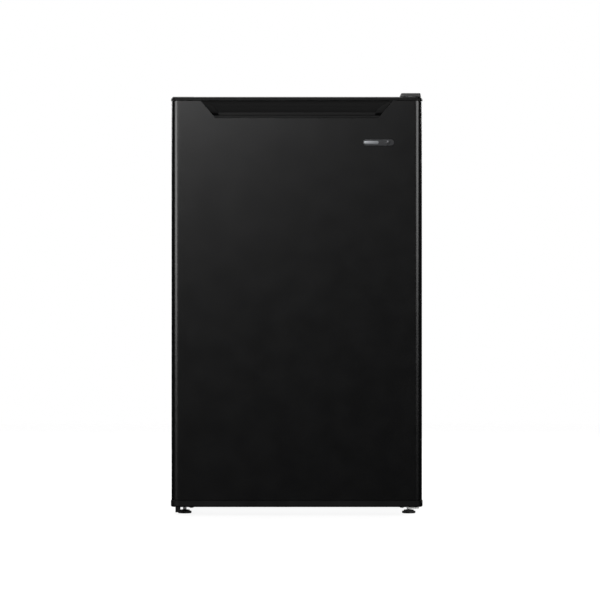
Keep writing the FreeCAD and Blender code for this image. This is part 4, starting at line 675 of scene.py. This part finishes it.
# %% Seal
low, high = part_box("door_gasket")
foot_y = high.y - 7.7 * MM
section = [(2, 0), (2, 1), (0.6, 1.8), (0, 3), (0.8, 4), (0, 5), (0.3, 6.6), (1.2, 7.6), (7.4, 7.7),
           (8.6, 7.35), (9.8, 7.7), (13, 7.6), (14, 6.8), (13.6, 5.4), (12.2, 4.6), (14.6, 3.6),
           (15.8, 2.2), (15.6, 1), (14, 0)]
points, faces = [], []
for inset, depth in section:
    inset, y = inset * MM, foot_y + depth * MM
    points += [(low.x + inset, y, low.z + inset), (high.x - inset, y, low.z + inset),
               (high.x - inset, y, high.z - inset), (low.x + inset, y, high.z - inset)]
count = len(section)
for row in range(count):
    for corner in range(4):
        after, following = (row + 1) % count, (corner + 1) % 4
        faces.append((row * 4 + corner, row * 4 + following, after * 4 + following, after * 4 + corner))
settle("door_seal", sheet_of("door_seal", points, faces), "door", "gasket_rubber", ["door_gasket"])

# %% [markdown]
# ## Ribs, ticks and beads
# Moulded bins, drawers and trays are stiffened and decorated with rows of half-round ribs. All of
# them are one rule: a bar, repeated along a line. The tree takes the bar's length and radius, the
# line's start and step, and the count, and the same tree serves the bins, the crisper, the flap
# and the drip tray.

# %% Rib tree
tree, size = new_tree("rib_row", Count=5, Start=(0.0, 0.0, 0.0), Step=(0.0, 0.0, 0.01), Along=(0.1, 0.0, 0.0),
                      Radius=1.0 * MM, Finish=None)
line = node(tree, "GeometryNodeMeshLine",
            {"Count": size["Count"], "Start Location": size["Start"], "Offset": size["Step"]}, mode="OFFSET")
back, ahead = (node(tree, "ShaderNodeVectorMath", {0: size["Along"], "Scale": end},
                    operation="SCALE").outputs[0]
               for end in (-0.5, 0.5))
path = node(tree, "GeometryNodeCurvePrimitiveLine", {"Start": back, "End": ahead}, mode="POINTS")
path = node(tree, "GeometryNodeResampleCurve", {"Curve": path.outputs[0], "Count": 9})
position = node(tree, "GeometryNodeSplineParameter").outputs["Factor"]
ends = math_of(tree, "SUBTRACT", position, 0.5)
ends = math_of(tree, "POWER", math_of(tree, "MULTIPLY", math_of(tree, "ABSOLUTE", ends), 2.0), 24.0)
taper = math_of(tree, "SUBTRACT", 1.0, math_of(tree, "MULTIPLY", ends, 0.85))
path = node(tree, "GeometryNodeSetCurveRadius", {"Curve": path.outputs[0], "Radius": taper})
bar = bar_along(tree, path.outputs[0], size["Radius"], 10)
tree.links.new(taper, bar.inputs["Scale"])
close_tree(tree, on_points(tree, line.outputs[0], bar.outputs[0]), size["Finish"])
rib_tree = tree
print("rib tree with", len(tree.nodes), "nodes")


def joined(meshes):
    """Several meshes as one."""
    work = bmesh.new()
    for mesh in meshes:
        work.from_mesh(mesh)
    result = bpy.data.meshes.new("joined")
    work.to_mesh(result)
    work.free()
    for material in meshes[0].materials:
        result.materials.append(material)
    return result

# %% Ribs on the bins
bin_bodies = {"door_bin_upper": "upper_bin", "door_bin_middle": "middle_bin", "door_bin_lower": "lower_bin"}
for name, body in bin_bodies.items():
    low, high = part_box(name)
    front_top = low.z + (high.z - low.z) * 0.72
    length = (high.x - low.x) - 50 * MM
    count = 4 if name != "door_bin_lower" else 6
    step = (front_top - low.z - 26 * MM) / (count - 1)
    mesh = grow(rib_tree, "clear_plastic", Count=count, Start=(0.0, high.y - 0.25 * MM, low.z + 13 * MM),
                Step=(0.0, 0.0, step), Along=(length, 0.0, 0.0), Radius=0.9 * MM)
    settle(name + "_ribs", mesh, body, "clear_plastic")

# %% Ribs on the crisper, the flap and the drip tray
low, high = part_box("crisper_drawer")
start = (-0.168, low.y + 0.2 * MM, (low.z + high.z) / 2 - 20 * MM)
mesh = grow(rib_tree, "clear_plastic", Count=25, Start=start,
            Step=(0.014, 0.0, 0.0), Along=(0.0, 0.0, 0.095), Radius=0.9 * MM)
settle("crisper_front_ribs", mesh, "drawer", "clear_plastic")

low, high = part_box("freezer_flap")
mesh = grow(rib_tree, "frosted_plastic", Count=4, Start=(0.0, low.y + 0.3 * MM, low.z + 34 * MM),
            Step=(0.0, 0.0, 8 * MM), Along=(0.24, 0.0, 0.0), Radius=0.9 * MM)
settle("flap_grip_ribs", mesh, "flap", "frosted_plastic")

low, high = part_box("drip_tray")
mesh = grow(rib_tree, "frosted_plastic", Count=11, Start=(-0.15, (low.y + high.y) / 2, low.z + 2.0 * MM),
            Step=(0.03, 0.0, 0.0), Along=(0.0, 0.20, 0.0), Radius=1.1 * MM)
settle("drip_tray_ribs", mesh, "tray", "frosted_plastic")

# %% [markdown]
# ## Nameplate
# The plate is dark chrome with a bright satin bar let into its left end and a small dim disc at
# its right. It stays blank. The bar and the disc stand a little proud with a soft edge, made as a
# stack of shrinking outlines, because that thin bright rim is what the eye reads as metal.

# %% Nameplate inlays
def pill(centre, half_width, half_height, proud, soft, steps=14):
    """A flat bar with round ends and a soft front edge, facing -Y."""
    outline_of = []
    for grow_by, depth in ((0.0, 0.0), (0.0, proud * 0.45), (-soft * 0.35, proud * 0.85), (-soft, proud)):
        radius = half_height + grow_by
        straight = half_width - half_height
        ring = []
        for end, start in ((1, -90), (-1, 90)):
            for n in range(steps + 1):
                angle = math.radians(start + 180 * n / steps)
                ring.append((centre.x + end * straight + radius * math.cos(angle), centre.y - depth,
                             centre.z + radius * math.sin(angle)))
        outline_of.append(ring)
    points = [point for ring in outline_of for point in ring]
    around = len(outline_of[0])
    faces = [tuple(range(around))[::-1]]
    for k in range(len(outline_of) - 1):
        for n in range(around):
            m = (n + 1) % around
            faces.append((k * around + n, k * around + m, (k + 1) * around + m, (k + 1) * around + n))
    faces.append(tuple(range((len(outline_of) - 1) * around, len(outline_of) * around)))
    return points, faces


low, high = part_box("door_badge")
middle_z = (low.z + high.z) / 2
centre = Vector((low.x * 0.70 + high.x * 0.30 - 2.0 * MM, low.y + 0.05 * MM, middle_z))
bar = sheet_of("badge_bar", *pill(centre, 14.5 * MM, 3.4 * MM, 0.5 * MM, 0.5 * MM))
settle("badge_bar", bar, "door", "badge_metal", dress="badge_inlay")
centre = Vector((low.x * 0.18 + high.x * 0.82, low.y + 0.05 * MM, middle_z))
disc = sheet_of("badge_disc", *pill(centre, 4.0 * MM, 4.0 * MM, 0.4 * MM, 0.4 * MM, 20))
settle("badge_disc", disc, "door", "badge_metal")

# %% [markdown]
# ## Lip of the finger pocket
# The cap's trough ends in a thin lip that hooks over the cut edge of the steel skin, so that no
# fingers meet the sheet. The lip is also painted shade: a dark strip laid on the skin where the groove under
# the pocket casts its shadow.
# It follows the pocket's bottom and the start of its slanted ends. It could be a sweep along the edge; an
# outline that is drawn in three steps keeps its corners crisp.

# %% Pocket lip
skin_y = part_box("door_skin")[0].y
edge_z = cap_top - 37 * MM
outer = (167.3 * MM, 162.2 * MM, edge_z + 0.2 * MM, edge_z - 5.2 * MM)
inner = (166.9 * MM, 162.6 * MM, edge_z - 0.2 * MM, edge_z - 4.7 * MM)


def trapezium(top_half, bottom_half, top_z, bottom_z, y):
    return [(-bottom_half, y, bottom_z), (bottom_half, y, bottom_z), (top_half, y, top_z),
            (-top_half, y, top_z)]


points = (trapezium(*outer, skin_y + 0.1 * MM) + trapezium(*outer, skin_y - 0.2 * MM)
          + trapezium(*inner, skin_y - 0.45 * MM))
faces = [(3, 2, 1, 0), (8, 9, 10, 11)]
for ring in (0, 4):
    faces += [(ring + n, ring + (n + 1) % 4, ring + 4 + (n + 1) % 4, ring + 4 + n) for n in range(4)]
# Painted shade: this lip is a dark strip laid where the groove's shadow falls.
settle("pocket_lip", sheet_of("lip", points, faces), "door", "cap_plastic")

# %% [markdown]
# ## Thermostat dial
# The knob points at numbers 1 to 7 printed on the control box, with a tick at each, and it carries
# a raised pointer. The ticks sit on an arc of 300 degrees, the travel of the knob's joint. They
# are instanced along the arc and turned to face its centre.

# %% Dial ticks
tree, size = new_tree("dial_ticks", Count=31, Radius=17.8 * MM, Sweep=5.236, Centre=(0.0, 0.0, 0.0),
                      Tick=(0.35 * MM, 0.2 * MM, 1.4 * MM), Finish=None)
line = node(tree, "GeometryNodeMeshLine", {"Count": size["Count"]}, mode="OFFSET")
index = node(tree, "GeometryNodeInputIndex").outputs[0]
share = math_of(tree, "DIVIDE", index, math_of(tree, "SUBTRACT", size["Count"], 1.0))
angle = math_of(tree, "MULTIPLY", math_of(tree, "SUBTRACT", share, 0.5), size["Sweep"])
x = math_of(tree, "MULTIPLY", math_of(tree, "SINE", angle), size["Radius"])
z = math_of(tree, "MULTIPLY", math_of(tree, "COSINE", angle), size["Radius"])
spots = node(tree, "GeometryNodeSetPosition",
             {"Geometry": line.outputs[0], "Position": vector_of(tree, x, 0.0, z)}).outputs[0]
tick = node(tree, "GeometryNodeMeshCube", {"Size": size["Tick"]}).outputs["Mesh"]
outwards = node(tree, "FunctionNodeEulerToRotation", {0: vector_of(tree, y=angle)}).outputs[0]
ticks = on_points(tree, spots, tick, Rotation=outwards)
close_tree(tree, shifted(tree, ticks, size["Centre"]), size["Finish"])

knob_low, knob_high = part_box("thermostat_knob")
knob_centre = (knob_low + knob_high) / 2
knob_centre.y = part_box("control_box")[0].y
moulded("dial_ink", (0.05, 0.06, 0.08), (0.08, 0.09, 0.11), (0.45, 0.6), 0.0005, 0.000005)
mesh = grow(tree, "dial_ink", Centre=tuple(knob_centre + Vector((0, -0.02 * MM, 0))))
settle("dial_ticks", mesh, "cabinet", "control_plastic")

# %% Dial numbers and pointer
numbers = []
for n in range(7):
    curve = bpy.data.curves.new("number", "FONT")
    curve.body, curve.size, curve.align_x, curve.align_y = str(n + 1), 4.2 * MM, "CENTER", "CENTER"
    curve.extrude = 0.06 * MM
    carrier = bpy.data.objects.new("number", curve)
    scene.collection.objects.link(carrier)
    bpy.context.view_layer.update()
    letter = bpy.data.meshes.new_from_object(carrier.evaluated_get(bpy.context.evaluated_depsgraph_get()))
    bpy.data.objects.remove(carrier)
    angle = math.radians(-126 + 42 * n)
    at = knob_centre + Vector((math.sin(angle) * 21.0 * MM, -0.05 * MM, math.cos(angle) * 21.0 * MM))
    letter.transform(Matrix.Translation(at) @ Matrix.Rotation(math.radians(90), 4, "X"))
    letter.materials.clear()
    letter.materials.append(finish["dial_ink"])
    numbers.append(letter)
settle("dial_numbers", joined(numbers), "cabinet", "control_plastic")

tip = Vector((knob_centre.x, knob_low.y - 0.02 * MM, knob_centre.z + 9.5 * MM))
pointer = sheet_of("knob_pointer", *pill(tip, 1.0 * MM, 1.0 * MM, 0.3 * MM, 0.25 * MM))
settle("knob_pointer", pointer, "knob", "control_plastic", dress="dial_ink")

# %% [markdown]
# ## The machine at the back
# A compressor is two deep-drawn steel cups welded round the middle. The weld leaves a rolled bead,
# the maker sticks a foil label on the shell, and a bent wire clip holds the terminal cover. The
# bead and the clip are tubes along a path, so one sweep helper makes both.

# %% Sweep and lathe helpers
def swept(path, radius, around=10, closed=False, wobble=0.0):
    """A round bar along a list of points, capped flat at open ends."""
    path = [Vector(p) for p in path]
    count = len(path)
    rings, side = [], None
    for n, point in enumerate(path):
        before = path[n - 1] if n or closed else path[n]
        after = path[(n + 1) % count] if n + 1 < count or closed else path[n]
        ahead = (after - before).normalized()
        side = (side - ahead * side.dot(ahead)).normalized() if side else ahead.orthogonal().normalized()
        up = ahead.cross(side)
        size = radius * (1 + wobble * math.sin(n * 2.4) * math.sin(n * 0.7))
        rings.append([point + (side * math.cos(a) + up * math.sin(a)) * size
                      for a in (k / around * math.tau for k in range(around))])
    points = [p for ring in rings for p in ring]
    faces = []
    for n in range(count if closed else count - 1):
        m = (n + 1) % count
        for k in range(around):
            j = (k + 1) % around
            faces.append((n * around + k, n * around + j, m * around + j, m * around + k))
    if not closed:
        faces.append(tuple(range(around))[::-1])
        faces.append(tuple(range((count - 1) * around, count * around)))
    return points, faces


def turned(profile, at, axis="Z", around=28, way=1):
    """A closed lathe-turned piece: (radius, distance) pairs spun round an axis."""
    points = []
    for radius, along in profile:
        for k in range(around):
            a = k / around * math.tau
            c, s, d = radius * math.cos(a), radius * math.sin(a), along * way
            spot = {"Y": (s, d, c), "Z": (c, s, d)}[axis]
            points.append(Vector(at) + Vector(spot))
    faces = [tuple(range(around))[::-1]]
    for n in range(len(profile) - 1):
        for k in range(around):
            j = (k + 1) % around
            faces.append((n * around + k, n * around + j, (n + 1) * around + j, (n + 1) * around + k))
    faces.append(tuple(range((len(profile) - 1) * around, len(profile) * around)))
    return points, faces


def several(shapes):
    """Merges (points, faces) shapes into one."""
    points, faces = [], []
    for some_points, some_faces in shapes:
        faces += [tuple(index + len(points) for index in face) for face in some_faces]
        points += list(some_points)
    return points, faces


def outward(mesh):
    """Turns every face outwards."""
    work = bmesh.new()
    work.from_mesh(mesh)
    bmesh.ops.recalc_face_normals(work, faces=work.faces)
    work.to_mesh(mesh)
    work.free()
    return mesh

# %% Compressor weld
shell_points = [vertex.co for vertex in frame["nodes"]["compressor_shell"].data.vertices]
shell_low, shell_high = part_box("compressor_shell")
crown = [p for p in shell_points if p.z > shell_high.z - 20 * MM]
shell_x = (min(p.x for p in crown) + max(p.x for p in crown)) / 2
shell_y = (min(p.y for p in crown) + max(p.y for p in crown)) / 2
reach = [(math.hypot(p.x - shell_x, p.y - shell_y), p.z) for p in shell_points if p.z > shell_low.z + 30 * MM]
flange_radius = max(reach)[0]
seam_heights = [z for r, z in reach if r > flange_radius - 0.2 * MM]
seam_z = (min(seam_heights) + max(seam_heights)) / 2
body_radius = flange_radius - 4 * MM
print("compressor", round(body_radius * 1000, 1), "mm in radius, seam at", round(seam_z * 1000, 1), "mm")


def on_shell(angle, radius, z):
    """A point that far round the compressor's axis."""
    return shell_x + radius * math.cos(angle), shell_y + radius * math.sin(angle), z


bead = [on_shell(n / 160 * math.tau, flange_radius - 0.3 * MM, seam_z) for n in range(160)]
mesh = outward(sheet_of("weld", *swept(bead, 1.5 * MM, 8, True, 0.22)))
settle("compressor_weld_bead", mesh, "cabinet", "compressor_paint")

# %% Foil label
metal("foil_label", (0.66, 0.67, 0.68), (0.72, 0.73, 0.74), (0.30, 0.40), 0.02, 0.001, 0.00001, Metallic=0.6)
label_z = (seam_z - 31 * MM, seam_z - 7 * MM)
edge = 0.4 * MM
rows = ((0.05 * MM, label_z[0]), (0.40 * MM, label_z[0] + edge), (0.40 * MM, label_z[1] - edge),
        (0.05 * MM, label_z[1]))
steps = 18
points, faces = [], []
for proud, z in rows:
    points += [on_shell(math.radians(62 + 56 * n / steps), body_radius + proud, z) for n in range(steps + 1)]
for row in range(len(rows) - 1):
    for n in range(steps):
        k = row * (steps + 1) + n
        faces.append((k, k + steps + 1, k + steps + 2, k + 1))
mesh = outward(sheet_of("label", points, faces))
settle("compressor_label", mesh, "cabinet", "compressor_paint", dress="foil_label")

# %% Terminal cover's clip
cover_low, cover_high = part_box("compressor_terminal_cover")
clip_x = cover_low.x - 1.4 * MM
clip_z = (cover_low.z + cover_high.z) / 2
clip = [
    (cover_high.x - 4 * MM, cover_high.y + 0.6 * MM, clip_z + 9 * MM),
    (clip_x, cover_high.y + 0.2 * MM, clip_z + 9 * MM),
    (clip_x, cover_high.y - 8 * MM, clip_z + 6 * MM),
    (clip_x, (cover_low.y + cover_high.y) / 2, clip_z + 1 * MM),
    (clip_x, cover_low.y + 8 * MM, clip_z - 4 * MM),
    (clip_x, cover_low.y + 0.5 * MM, clip_z - 7 * MM),
]
settle("terminal_cover_clip", outward(sheet_of("clip", *swept(clip, 0.9 * MM, 8))), "cabinet", "screw_steel")

# %% [markdown]
# ## Condenser
# The condenser is steel tube bent to and fro, with straight wires spot-welded across both faces.
# It is a rule with four numbers: how many wires, how far apart, how many passes and how far apart.
# The tree lays out the wires as instances along a line, and a small flattened bead of metal at
# every place where a wire crosses a pass. The CAD wires give the spacing, and the tube the passes.

# %% Condenser tree
tree, size = new_tree("wire_grid", Wires=30, Gap=0.014, Height=0.48, Wire_radius=0.8 * MM, Passes=12,
                      Pitch=0.044,
                      First_pass=0.0, Bead=1.3 * MM, Corner=(0.0, 0.0, 0.0), Faces_apart=0.006, Finish=None)
across = node(tree, "GeometryNodeMeshLine",
              {"Count": size["Wires"], "Start Location": size["Corner"],
               "Offset": vector_of(tree, x=size["Gap"])},
              mode="OFFSET").outputs[0]
upright = node(tree, "GeometryNodeCurvePrimitiveLine", {"End": vector_of(tree, z=size["Height"])},
               mode="POINTS")
wire = bar_along(tree, upright.outputs[0], size["Wire radius"], 8).outputs[0]
climb = node(tree, "GeometryNodeMeshLine",
             {"Count": size["Passes"], "Start Location": vector_of(tree, z=size["First pass"]),
              "Offset": vector_of(tree, z=size["Pitch"])}, mode="OFFSET").outputs[0]
weld = node(tree, "GeometryNodeMeshIcoSphere", {"Radius": size["Bead"], "Subdivisions": 1}).outputs["Mesh"]
weld = node(tree, "GeometryNodeTransform", {"Geometry": weld, "Scale": (1.0, 0.75, 1.5)}).outputs[0]
welds = on_points(tree, across, on_points(tree, climb, weld))
front_face = merged(tree, on_points(tree, across, wire), welds)
rear_face = shifted(tree, front_face, vector_of(tree, y=size["Faces apart"]))
close_tree(tree, merged(tree, front_face, rear_face), size["Finish"])
print("condenser tree with", len(tree.nodes), "nodes")

# %% Condenser wires
wire_islands = loose_parts("condenser_wires")
wire_low, wire_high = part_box("condenser_wires")
radius = 0.8 * MM
columns = sorted({round(sum(p.x for p in points) / len(points), 4) for points in wire_islands})
gap = (columns[-1] - columns[0]) / (len(columns) - 1)
print(len(wire_islands), "CAD wires in", len(columns), "columns", round(gap * 1000, 2), "mm apart")

tube_low, tube_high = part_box("condenser_tube")
passes = 12
tube_size = tube_high.y - tube_low.y
pitch = (tube_high.z - tube_low.z - tube_size) / (passes - 1)
mesh = grow(tree, "condenser_paint", Wires=len(columns), Gap=gap, Height=wire_high.z - wire_low.z,
            Wire_radius=radius, Passes=passes, Pitch=pitch, First_pass=tube_low.z + tube_size / 2 - wire_low.z,
            Corner=(columns[0], wire_low.y + radius,
                    wire_low.z), Faces_apart=wire_high.y - wire_low.y - 2 * radius)
settle("condenser_wire_grid", mesh, "cabinet", "condenser_paint", ["condenser_wires"])

# %% [markdown]
# ## Pipe joints
# Copper is brazed where it meets the drier and the compressor. The braze creeps out as a small
# bright collar. A collar is a lathe shape: a cylinder with a soft foot.

# %% Brazed collars
metal("braze", (0.62, 0.50, 0.26), (0.78, 0.66, 0.38), (0.26, 0.42), 0.003, 0.0006, 0.00002)
low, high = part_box("filter_drier")
x, y = (low.x + high.x) / 2, (low.y + high.y) / 2
collar = [(r * MM, d * MM) for r, d in ((3.2, 0), (4.1, 0.6), (3.9, 2.0), (3.2, 3.4), (2.75, 4.6))]
shapes = [turned(collar, (x, y, high.z - 0.3 * MM)), turned(collar, (x, y, low.z + 0.3 * MM), way=-1)]
mesh = outward(sheet_of("collars", *several(shapes)))
settle("drier_braze_collars", mesh, "cabinet", "copper", dress="braze")

# %% [markdown]
# ## Back panel
# Foam is shot into the case through two holes, which are then plugged with plastic buttons, and a
# plate with the ratings is stuck to the panel. The plate stays blank: a real one is covered with
# small print that says nothing about the shape.

# %% Foam plugs and rating plate
low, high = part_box("back_panel")
button = [(r * MM, d * MM) for r, d in ((9.0, 0), (9.0, 0.8), (8.2, 1.5), (4.0, 1.9), (3.4, 1.3), (0.5, 1.2))]
shapes = [turned(button, (side * 0.12, high.y - 0.05 * MM, high.z - 16 * MM), "Y") for side in (-1, 1)]
settle("foam_hole_plugs", outward(sheet_of("plugs", *several(shapes))), "cabinet", "black_moulding")


def plate_on_back(x, z, y, thickness):
    """A thin plate with chamfered edges, facing +Y."""
    chamfer = 0.4 * MM
    points = []
    for inset, depth in ((0.0, y), (chamfer, y + thickness)):
        x0, x1, z0, z1 = x[0] + inset, x[1] - inset, z[0] + inset, z[1] - inset
        points += [(x0, depth, z0), (x1, depth, z0), (x1, depth, z1), (x0, depth, z1)]
    return points, [(0, 1, 2, 3), (4, 7, 6, 5), (0, 4, 5, 1), (1, 5, 6, 2), (2, 6, 7, 3), (3, 7, 4, 0)]


plate = plate_on_back((-0.045, 0.045), (high.z - 26 * MM, high.z - 8 * MM), high.y - 0.02 * MM, 0.5 * MM)
settle("blank_rating_plate", outward(sheet_of("plate", *plate)), "cabinet", "back_sheet", dress="foil_label")

# %% [markdown]
# ## Size before and after
# The CAD model's box and the dressed model's box are printed side by side.

# %% Sizes and the last line
new_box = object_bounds()
for axis, letter in enumerate("XYZ"):
    was, now = cad_box[1][axis] - cad_box[0][axis], new_box[1][axis] - new_box[0][axis]
    print(letter, "CAD", round(was * 1000, 1), "mm, dressed", round(now * 1000, 1), "mm")
